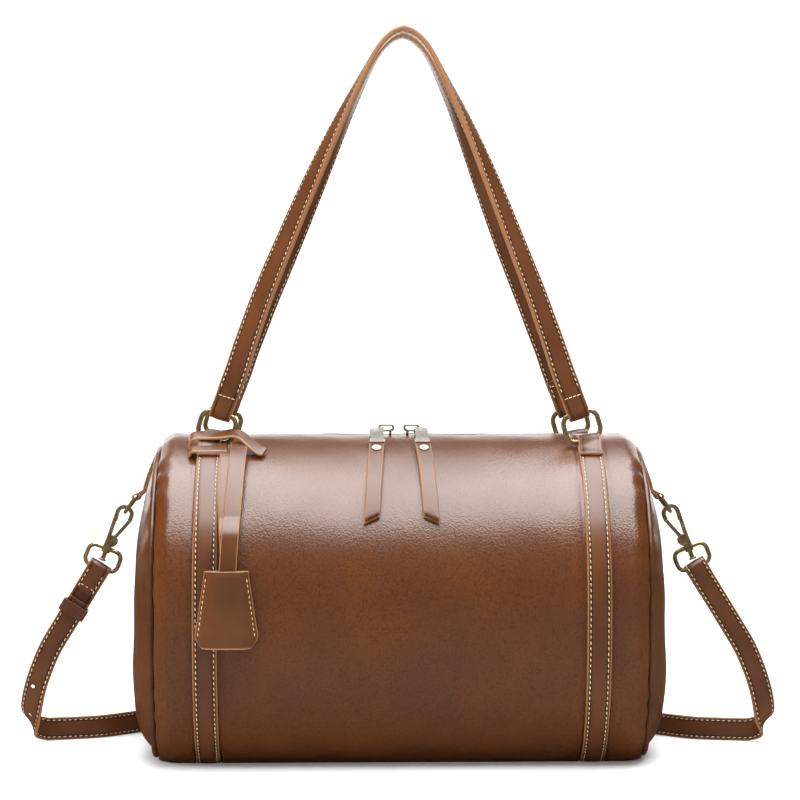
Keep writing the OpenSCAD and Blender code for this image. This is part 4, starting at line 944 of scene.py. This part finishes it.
HINGE_Y, HINGE_UP, PULL_WIRE, PULL_X, PULL_SLANT, PULL_W = -9.0, 4.8, 0.75, 14.3, 4.0, 9.6
CLAMP_L, PULL_L, PULL_LOW, LAYER_T, CUT_SLANT = 30.0, 99.0, BARREL_R + 0.5, 1.7, 1.5
TAPE_HALF, TAPE_T, TOOTH_H = 14, 0.8, 2.0
TAPE_Z = AXIS_Z + math.sqrt((BARREL_R - LEATHER) ** 2 - TAPE_HALF**2) - GAP - TAPE_T
SLIDER_Z = TAPE_Z + (TAPE_T - TOOTH_H) / 2 + TOOTH_H + GAP
HINGE = np.array([HINGE_Y, SLIDER_Z + HINGE_UP])
HINGE_A = math.degrees(math.atan2(-HINGE[0], HINGE[1] - AXIS_Z))
TURN_PER_MM = 180 / (math.pi * math.hypot(HINGE[0], HINGE[1] - AXIS_Z))
CLAMP_A, PULL_A = HINGE_A + CLAMP_L * TURN_PER_MM, HINGE_A + PULL_L * TURN_PER_MM


def pull_line(rho, end):
    """Middle line of a left pull's layer at radius rho, down the round to the angle end, and its shares."""
    share = np.linspace(0, 1, 60)
    a = CLAMP_A - 2.5 + (end - CLAMP_A + 2.5) * share
    x = -(PULL_X + PULL_SLANT * (a - CLAMP_A) / (PULL_A - CLAMP_A))
    lift = 0.35 * np.sin(share * np.pi) ** 2
    return np.column_stack([x, polar(rho + lift, a)]), share


for sx, label in ((-1, "left"), (1, "right")):
    body = f"{label}_pull"
    for layer, rho, end, nodes in (("under", PULL_LOW + LAYER_T / 2, PULL_A, [f"{label}_zip_pull"]),
                                   ("upper", PULL_LOW + LAYER_T * 1.5 + GAP, PULL_A - 1, [])):
        line, share = pull_line(rho, end)
        slant = math.radians(CUT_SLANT) * rho / (PULL_W / 2) * sx * share**2
        name = f"{label}_zip_pull_{layer}"
        made = strap_mesh(name, line * [-sx, 1, 1], [1, 0, 0], PULL_W, LAYER_T, 0.0, slant)
        dress(made, body, "trim_leather", "plain strap", *nodes)
    path = upright(rounded_loop(9.0, 3.6, 1.5, 6), (sx * 8.1, HINGE[0], HINGE[1] + 1.8))
    ring = tube(f"{label}_pull_ring_metal", path, PULL_WIRE, 10, closed=True)
    dress(ring, body, "zip_metal", "gunmetal", f"{label}_pull_ring")
print("pulls hang from", round(CLAMP_A, 1), "to", round(PULL_A, 1), "degrees forwards of the top")

# %% [markdown]
# ## Lace and key bell
# A leather lace goes twice round the left body strap under its front ring. Its root stays with the wrap on
# the bag, and its doubled end hangs down to a bell-shaped cover of two shells sewn edge to edge, which
# hides a key ring.

# %% Lace
LACE_X, LACE_LOW_X, LACE_W, LACE_T, LACE_RHO, LACE_FROM = 101.3, 106.0, 11.0, 1.35, 106.0, 29.2
WRAP_T, WRAP_STEP, TONGUE_L = 1.9, 0.8, 4.0
BELL_HINGE = np.array([-107.0, 121.7])
wrap_path = np.array([
    [-132.4, 102.5, 23.0], [-132.2, 106.0, 22.4], [-130.6, 108.6, 22.0], [-126, 109.3, 21.8], [-118, 109.4, 21.8],
    [-111, 109.8, 21.6], [-105, 110.4, 21.4], [-100, 109.8, 22.6], [-95, 107.0, 24.7], [-91, 104.8, 26.4],
    [-88, 103.8, 27.4], [-85.5, 103.5, 28.0]])
lower_path = np.array([
    [-131.9, 101.9, 27], [-131.6, 104.0, 27], [-129.6, 105.1, 27], [-120, 105.2, 27], [-112, 105.3, 27],
    [-109.2, 104.8, 27], [-108.0, 103.2, 27], [-107.8, 101.9, 27]])


def wrap_band(name, table, width, lean, tongue, *nodes):
    """Strap across the body strap, from rows of x, radius and angle; lean tips its lower edge inwards.

    A tongue's end narrows to 0.8 of the width, as a quarter of a circle over its last millimetres.
    """
    run = spline(table, 6)
    path = np.column_stack([run[:, 0], polar(run[:, 1], run[:, 2])])
    a = np.radians(run[:, 2] + lean)
    across = np.column_stack([np.zeros(len(run)), -np.cos(a), -np.sin(a)])
    path, across = resample(path, WRAP_STEP, across)
    left = np.clip(np.arange(len(path))[::-1] * WRAP_STEP / TONGUE_L, 0, 1) if tongue else np.ones(len(path))
    width = width * (0.8 + 0.2 * np.sqrt(1 - (1 - left) ** 2))
    made = strap_mesh(name, path, across, width, WRAP_T, 0.0)
    return dress(made, "bag", "trim_leather", "plain strap", *nodes)


wrap_band("lace_wrap_upper", wrap_path, 9.4, 8, True, "lace_wrap")
wrap_band("lace_wrap_lower", lower_path, 10.6, 0, False)
a = np.radians(np.linspace(LACE_FROM, 60, 26))
round_part = np.column_stack([-LACE_RHO * np.sin(a), AXIS_Z + LACE_RHO * np.cos(a)])
root = np.column_stack([np.full(9, -LACE_X), polar(np.full(9, 106.4), np.linspace(24.5, 29.1, 9))])
root = strap_mesh("lace_root", root, [1, 0, 0], LACE_W - 0.4, LACE_T, 0.0)
dress(root, "bag", "trim_leather", "plain strap")
hanging = [round_part[-1], [-101.4, 148.5], [-104.9, 138.0], BELL_HINGE + [0, 5.2], BELL_HINGE + [0.3, -2.0]]
yz = np.concatenate([round_part, spline(hanging, 8)[1:]])
share = (yz[0, 1] - yz[:, 1]) / (yz[0, 1] - yz[-1, 1])
outside = tangents(yz)[:, ::-1] * [1, -1]
outside *= np.sign(outside[0] @ (yz[0] - [0, AXIS_Z]))
for name, off, drift, start, width, nodes in (("lace_front_strand", 0.72, 0.0, 0, LACE_W - 0.4, ["lace"]),
                                              ("lace_rear_strand", -0.78, -6.5, 1, 10.0, [])):
    x = -(LACE_X + (LACE_LOW_X - LACE_X) * share) + drift * (1 - smoothstep(0.15, 0.9, share))
    line, = resample(np.column_stack([x, yz + outside * off])[start:-start or None], 1.0)
    made = strap_mesh(name, line, [1, 0, 0], width, LACE_T, 0.0)
    dress(made, "lace", "trim_leather", "plain strap", *nodes)
print("lace hangs from z", round(yz[0, 1], 1), "to", round(yz[-1, 1], 1))

# %% Bell
BELL_X, BELL_SEAM, BELL_T, BELL_BULGE, BACK_BULGE = 106.5, -105.15, 1.6, 4.3, 0.35
BELL_TOP, BELL_H, BELL_W = 125.2, 47.0, 38.5
bell_shares = np.array([  # shares of the height, from the top, and of the width
    [0, 0.7], [0.12, 0.735], [0.3, 0.8], [0.5, 0.875], [0.7, 0.95], [0.82, 1], [0.9, 0.95], [1, 0.78]])


def bell_skin(front, grow):
    """Skin of a bell shell: across it the bulge is 1 minus the fourth power of the share from its middle."""
    rows = spline(bell_shares, 6)
    s, half = rows[:, 0, None], rows[:, 1, None] * BELL_W / 2
    u = np.sin(np.linspace(-1, 1, 41) * np.pi / 2)[None, :]
    way = -1 if front else 1
    edge = 1 - np.abs(u) ** 6
    bulge = (BELL_BULGE if front else BACK_BULGE) * (1 - u**4)
    pucker = 0.12 * np.sin(s * 70) * smoothstep(0.75, 0.97, np.abs(u))
    thick = grow * (0.55 + 0.45 * edge)
    top = 1 - 0.25 * np.exp(-((s / 0.05) ** 2))
    x = -BELL_X + u * (half - 0.25 * (1 - edge) * (grow > 0))
    y = BELL_SEAM + way * (GAP / 2 + (bulge + pucker) * top + thick)
    return np.stack(np.broadcast_arrays(x, y, BELL_TOP - BELL_H * s), -1)


for front, label in ((True, "front"), (False, "back")):
    skin = bell_skin(front, BELL_T)
    rim = np.zeros(skin.shape[:2])
    rim[:, :3], rim[:, -3:], rim[:1], rim[-2:] = 1, 1, 1, 1
    edge = np.concatenate([rim, rim[:, ::-1]], 1)
    made = two_skins(f"bell_{label}_leather", skin, bell_skin(front, 0.0), {"edge": edge})
    dress(made, "bell", "trim_leather", "plain strap", f"bell_{label}")
bell_rows = []
for column in (6, -7):
    inset = bell_skin(True, BELL_T)[2:-6, column] + [0, 0.05, 0]
    place, along, face = stitch_line(inset, [1, 0, 0], 0.0, -0.01, 3.3, skip=(1.0, 1.0))
    bell_rows.append((place, along, np.where(face[:, 1:2] > 0, -face, face)))
thread_rows("bell_thread", bell_rows, "bell")
path = upright(rounded_loop(14.0, 16.0, 1.8), (-LACE_LOW_X, BELL_HINGE[0], BELL_HINGE[1] - 8))
dress(tube("key_ring_nickel", path, 0.9, 12, closed=True), "bell", "nickel", "nickel", "key_ring")
print("bell hangs at x", -BELL_X, "with its mouth at z", round(BELL_TOP - BELL_H, 1))

# %% [markdown]
# ## Looks
# Each look is a node material on Object coordinates. The leather's pebbles, the cloth's weave and the
# metal's patina are node groups that give masks and heights, and every material keeps its own shader.


# %% Node helpers
def new_group(name, inputs, outputs):
    """Empty node group with named input values and output sockets, and its two end nodes."""
    group = bpy.data.node_groups.new(name, "ShaderNodeTree")
    for label, kind, value in inputs:
        socket = group.interface.new_socket(label, in_out="INPUT", socket_type=kind)
        if value is not None:
            socket.default_value = value
    for label, kind in outputs:
        group.interface.new_socket(label, in_out="OUTPUT", socket_type=kind)
    return group, group.nodes.new("NodeGroupInput"), group.nodes.new("NodeGroupOutput")


def feed(tree, node, values):
    """Gives a node's inputs, by name or number, their values or their links."""
    for key, value in values.items():
        if isinstance(value, bpy.types.NodeSocket):
            tree.links.new(value, node.inputs[key])
        else:
            node.inputs[key].default_value = value


def add(tree, kind, values=None, **settings):
    """Node of a kind with its settings and the values of its inputs."""
    node = tree.nodes.new(kind)
    for key, value in settings.items():
        setattr(node, key, value)
    feed(tree, node, values or {})
    return node


def calculate(tree, operation, *values):
    """Result of a Math node on its values."""
    return add(tree, "ShaderNodeMath", dict(enumerate(values)), operation=operation).outputs[0]


def noise(tree, vector, scale, detail, output=0):
    """Value or colour of a Noise node with scale cells to the metre."""
    values = {"Vector": vector, "Scale": scale, "Detail": detail}
    return add(tree, "ShaderNodeTexNoise", values).outputs[output]


def remap(tree, value, lo, hi, to_lo=0.0, to_hi=1.0):
    """Map Range node from lo..hi to to_lo..to_hi, clamped."""
    settings = {0: value, 1: lo, 2: hi, 3: to_lo, 4: to_hi}
    return add(tree, "ShaderNodeMapRange", settings, clamp=True).outputs[0]


def blend(tree, factor, a, b):
    """Mix of two colours by a factor."""
    return add(tree, "ShaderNodeMix", {0: factor, 6: a, 7: b}, data_type="RGBA").outputs[2]


def bump(tree, strength, distance, height):
    """Normal bent by a height."""
    values = {"Strength": strength, "Distance": distance, "Height": height}
    return add(tree, "ShaderNodeBump", values).outputs[0]


def rgb(r, g, b):
    """Linear colour with full alpha."""
    return (r, g, b, 1.0)


def deeper(colour, share):
    """A share of a colour."""
    return rgb(*(c * share for c in colour[:3]))


# %% Leather grain group
def leather_grain():
    """Pebbles from smooth Voronoi cells bent by noise, with fine creases: gives height, valley and mottle."""
    group, enter, leave = new_group(
        "Leather grain",
        [("Vector", "NodeSocketVector", None), ("Pebbles per metre", "NodeSocketFloat", 900.0)],
        [("Height", "NodeSocketFloat"), ("Valley", "NodeSocketFloat"), ("Mottle", "NodeSocketFloat")])
    vector, count = enter.outputs[0], enter.outputs[1]
    bend = noise(group, vector, 260.0, 3.0, "Color")
    pull = add(group, "ShaderNodeVectorMath", {0: bend, 1: (0.0012,) * 3}, operation="MULTIPLY").outputs[0]
    place = add(group, "ShaderNodeVectorMath", {0: vector, 1: pull}, operation="ADD").outputs[0]
    cells = add(group, "ShaderNodeTexVoronoi", {"Vector": place, "Scale": count, "Smoothness": 0.35},
                feature="SMOOTH_F1")
    pebble = remap(group, cells.outputs["Distance"], 0.1, 0.75, 1.0, 0.0)
    height = calculate(group, "MULTIPLY_ADD", noise(group, vector, 3200.0, 2.0), 0.22, pebble)
    mottle = remap(group, noise(group, vector, 26.0, 4.0), 0.35, 0.68)
    feed(group, leave, {0: height, 1: remap(group, pebble, 0.0, 0.45, 1.0, 0.0), 2: mottle})
    return group


def weave():
    """Plain weave from two crossed waves: gives height."""
    group, enter, leave = new_group(
        "Weave", [("Vector", "NodeSocketVector", None)], [("Height", "NodeSocketFloat")])
    bands = [add(group, "ShaderNodeTexWave", {"Vector": enter.outputs[0], "Scale": 420.0, "Distortion": 0.6},
                 bands_direction=way).outputs[1] for way in ("X", "Y")]
    feed(group, leave, {0: calculate(group, "MULTIPLY", *bands)})
    return group


def patina():
    """Broad and fine noise for cast metal: gives tarnish and height."""
    group, enter, leave = new_group(
        "Patina", [("Vector", "NodeSocketVector", None)],
        [("Tarnish", "NodeSocketFloat"), ("Height", "NodeSocketFloat")])
    vector = enter.outputs[0]
    tarnish = remap(group, noise(group, vector, 210.0, 5.0), 0.38, 0.66)
    feed(group, leave, {0: tarnish, 1: noise(group, vector, 1500.0, 2.0)})
    return group


GRAIN, WEAVE, PATINA = leather_grain(), weave(), patina()
print("node groups:", GRAIN.name, WEAVE.name, PATINA.name)


# %% Materials
def material(name):
    """Node material with an Object vector, a Principled shader and its output."""
    made = bpy.data.materials.new(name)
    made.use_nodes = True
    tree = made.node_tree
    vector = tree.nodes.new("ShaderNodeTexCoord").outputs["Object"]
    return made, tree, vector, tree.nodes["Principled BSDF"]


def group_node(tree, group, vector, **values):
    """The group as a node in a material, fed with a vector and values by name."""
    node = tree.nodes.new("ShaderNodeGroup")
    node.node_tree = group
    tree.links.new(vector, node.inputs["Vector"])
    for key, value in values.items():
        node.inputs[key.replace("_", " ")].default_value = value
    return node


def body_leather(name, light, dark, pebbles, strength, rough, coat):
    """Glossy pebbled leather: darker valleys, soft mottling and a coat that carries the highlights."""
    made, tree, vector, shader = material(name)
    grain = group_node(tree, GRAIN, vector, Pebbles_per_metre=pebbles)
    mottle = grain.outputs["Mottle"]
    valley = remap(tree, grain.outputs["Valley"], 0, 1, 0, 0.45)
    normal = bump(tree, strength, 0.00016, grain.outputs["Height"])
    feed(tree, shader, {
        "Base Color": blend(tree, valley, blend(tree, mottle, light, dark), deeper(dark, 0.4)),
        "Roughness": remap(tree, mottle, 0, 1, rough - 0.03, rough + 0.05),
        "Normal": normal, "Coat Weight": coat, "Coat Roughness": 0.24, "Coat Normal": normal})
    return made


def strap_leather(name, light, dark, edge, groove_shade=0.9):
    """Smooth strap leather with paler painted edges, and painted shade darkening the stitch grooves.

    The strap meshes carry both: across is the place across the band, and edge marks the painted edge.
    """
    made, tree, vector, shader = material(name)
    grain = group_node(tree, GRAIN, vector, Pebbles_per_metre=1500.0)
    across, painted = (add(tree, "ShaderNodeAttribute", attribute_name=word).outputs["Fac"]
                       for word in ("across", "edge"))
    groove = calculate(tree, "COMPARE", calculate(tree, "ABSOLUTE", across), 0.74, 0.06)
    tone = blend(tree, grain.outputs["Mottle"], light, dark)
    # painted shade: the stitch grooves are darkened towards a deep brown
    tone = blend(tree, calculate(tree, "MULTIPLY", groove, groove_shade), tone, deeper(dark, 0.22))
    feed(tree, shader, {
        "Base Color": blend(tree, painted, tone, edge), "Roughness": 0.36,
        "Normal": bump(tree, 0.22, 0.0001, grain.outputs["Height"]),
        "Coat Weight": 0.25, "Coat Roughness": 0.2})
    return made


def metal(name, light, dark, rough):
    """Metal with a patina in its dull patches."""
    made, tree, vector, shader = material(name)
    tarnish, height = group_node(tree, PATINA, vector).outputs
    feed(tree, shader, {
        "Base Color": blend(tree, tarnish, light, dark), "Metallic": 0.85,
        "Roughness": remap(tree, tarnish, 0, 1, rough, rough + 0.14),
        "Normal": bump(tree, 0.12, 0.00005, height)})
    return made


def cloth(name, light, dark, rough):
    """Woven cloth: light threads over dark gaps."""
    made, tree, vector, shader = material(name)
    height = group_node(tree, WEAVE, vector).outputs[0]
    feed(tree, shader, {
        "Base Color": blend(tree, height, dark, light), "Roughness": rough,
        "Normal": bump(tree, 0.4, 0.0002, height)})
    return made


def thread_look():
    """Cream waxed thread, a little darker in patches."""
    made, tree, vector, shader = material("Cream thread")
    patches = remap(tree, noise(tree, vector, 900.0, 2.0), 0.35, 0.7)
    tone = blend(tree, patches, rgb(0.74, 0.58, 0.39), rgb(0.5, 0.36, 0.2))
    feed(tree, shader, {"Base Color": tone, "Roughness": 0.55})
    return made


looks = {
    "body leather": body_leather(
        "Pebbled leather", rgb(0.102, 0.0295, 0.0052), rgb(0.084, 0.023, 0.004), 820.0, 0.5, 0.34, 0.5),
    "welt leather": body_leather(
        "Welt leather", rgb(0.105, 0.033, 0.008), rgb(0.062, 0.019, 0.005), 1500.0, 0.3, 0.33, 0.35),
    "strap leather": strap_leather(
        "Strap leather", rgb(0.1, 0.0315, 0.0075), rgb(0.07, 0.021, 0.005), rgb(0.25, 0.11, 0.045)),
    "plain strap": strap_leather(
        "Plain strap leather", rgb(0.108, 0.036, 0.0085), rgb(0.076, 0.024, 0.0058), rgb(0.28, 0.13, 0.055),
        groove_shade=0.0),
    "keeper leather": body_leather(
        "Keeper leather", rgb(0.1, 0.031, 0.011), rgb(0.07, 0.021, 0.008), 1500.0, 0.2, 0.35, 0.3),
    "old brass": metal("Antique brass", rgb(0.62, 0.46, 0.23), rgb(0.3, 0.21, 0.1), 0.22),
    "gunmetal": metal("Gunmetal", rgb(0.55, 0.52, 0.46), rgb(0.34, 0.32, 0.28), 0.3),
    "nickel": metal("Nickel", rgb(0.72, 0.7, 0.66), rgb(0.5, 0.48, 0.44), 0.18),
    "zip tape": cloth("Zip tape", rgb(0.05, 0.028, 0.018), rgb(0.02, 0.011, 0.008), 0.8),
    "lining": cloth("Lining cloth", rgb(0.3, 0.23, 0.16), rgb(0.14, 0.1, 0.07), 0.85),
    "board": cloth("Fibre board", rgb(0.45, 0.35, 0.23), rgb(0.3, 0.23, 0.15), 0.9),
    "thread": thread_look(),
}
kept_nodes = {"base_board": "board", "zip_stops": "gunmetal", "strap_stud": "nickel",
              "left_gate_spring": "gunmetal", "right_gate_spring": "gunmetal"}
for made, look in worn + [(bpy.data.objects[node], look) for node, look in kept_nodes.items()]:
    made.data.materials.clear()
    made.data.materials.append(looks[look])
print("looks:", len(looks), "on", len(worn), "pieces and", len(kept_nodes), "kept CAD nodes")

# %% [markdown]
# ## Studio
# The bag stands on a pale floor before a white backdrop. A large softbox hangs above and a little in front,
# so that the barrel shows a broad soft highlight with a dark band between it and the backdrop's reflection.


# %% Floor, backdrop and lights
def studio_white():
    """Plain white for the studio, dark to mirrored rays, as if black flags stood round the bag."""
    made, tree, vector, shader = material("Studio white")
    mirrored = tree.nodes.new("ShaderNodeLightPath").outputs["Is Glossy Ray"]
    tone = blend(tree, mirrored, rgb(0.86, 0.86, 0.86), rgb(0.06, 0.045, 0.03))
    feed(tree, shader, {"Base Color": tone, "Roughness": 0.9, "Specular IOR Level": 0.0})
    return made


def sweep_floor():
    """Floor that curves up into the backdrop: a quarter circle joins the two planes."""
    a = np.linspace(0, np.pi / 2, 24)
    bend = np.column_stack([1400 + 500 * np.sin(a), 500 - 500 * np.cos(a)])
    yz = np.concatenate([[[-4000, 0]], bend, [[1900, 1500]]])
    grid = np.stack([np.column_stack([np.full(len(yz), x), yz]) for x in (-5000.0, 5000.0)])
    made = mesh_from("studio_sweep", grid, grid_quads(2, len(yz)))
    made.data.flip_normals()
    made.data.materials.append(studio_white())
    return made


def aim(made, place, target):
    """Puts a lamp or a camera at a place in metres, turned to a target."""
    made.location = place
    made.rotation_euler = (Vector(target) - Vector(place)).to_track_quat("-Z", "Y").to_euler()
    bpy.context.scene.collection.objects.link(made)
    return made


def softbox(name, place, target, size, power, mirrored=True):
    """Rectangular area light turned to a target; mirrored says if gloss shows it."""
    light = bpy.data.lights.new(name, "AREA")
    light.shape, light.size, light.size_y, light.energy = "RECTANGLE", *size, power
    made = aim(bpy.data.objects.new(name, light), place, target)
    made.visible_camera, made.visible_glossy = False, mirrored
    return made


lamps = [
    softbox("overhead_softbox", (0.1, -0.26, 1.3), (0.1, -0.26, 0.0), (1.25, 1.4), 40.0),
    softbox("left_softbox", (-1.7, -0.25, 0.55), (0.0, 0.0, 0.15), (0.6, 1.0), 22.0, mirrored=False),
    softbox("front_softbox", (-0.2, -2.6, 1.2), (0.0, 0.0, 0.15), (2.2, 1.0), 24.0, mirrored=False),
    softbox("rear_glow", (0.0, 1.15, 0.42), (0.0, 0.0, 0.25), (1.8, 0.6), 7.0),
    softbox("backdrop_softbox", (0.0, 0.9, 1.6), (0.0, 1.9, 0.4), (3.0, 0.6), 22.0),
]
sweep_floor()
print("lights:", [lamp.name for lamp in lamps])

# %% The air round the studio
AIR, AIR_MIRRORED = 0.42, 0.01
world = bpy.data.worlds.new("Studio air")
world.use_nodes = True
air = world.node_tree
ray = air.nodes.new("ShaderNodeLightPath").outputs
even = calculate(air, "MULTIPLY_ADD", ray["Is Glossy Ray"], AIR_MIRRORED - AIR, AIR)
seen = calculate(air, "MAXIMUM", ray["Is Camera Ray"], even)
feed(air, air.nodes["Background"], {"Color": rgb(1, 1, 1), "Strength": seen})
bpy.context.scene.world = world
print("air:", AIR, "and in mirrored rays", AIR_MIRRORED)

# %% [markdown]
# ## Camera and finish
# The photo was taken with a long lens a little above the middle of the bag. The camera stands so that the
# bag's outline falls where it does in the photo.

# %% Camera
CAMERA_AT, LOOKS_AT, LENS = (-0.036, -1.5, 0.264), (0.001, 0.0, 0.2258), 104.05
lens = bpy.data.cameras.new("Photo camera")
lens.lens, lens.sensor_width, lens.sensor_fit = LENS, 36.0, "HORIZONTAL"
bpy.context.scene.camera = aim(bpy.data.objects.new("Photo camera", lens), CAMERA_AT, LOOKS_AT)
bpy.context.scene.view_settings.view_transform = "Standard"
print("camera at", CAMERA_AT)
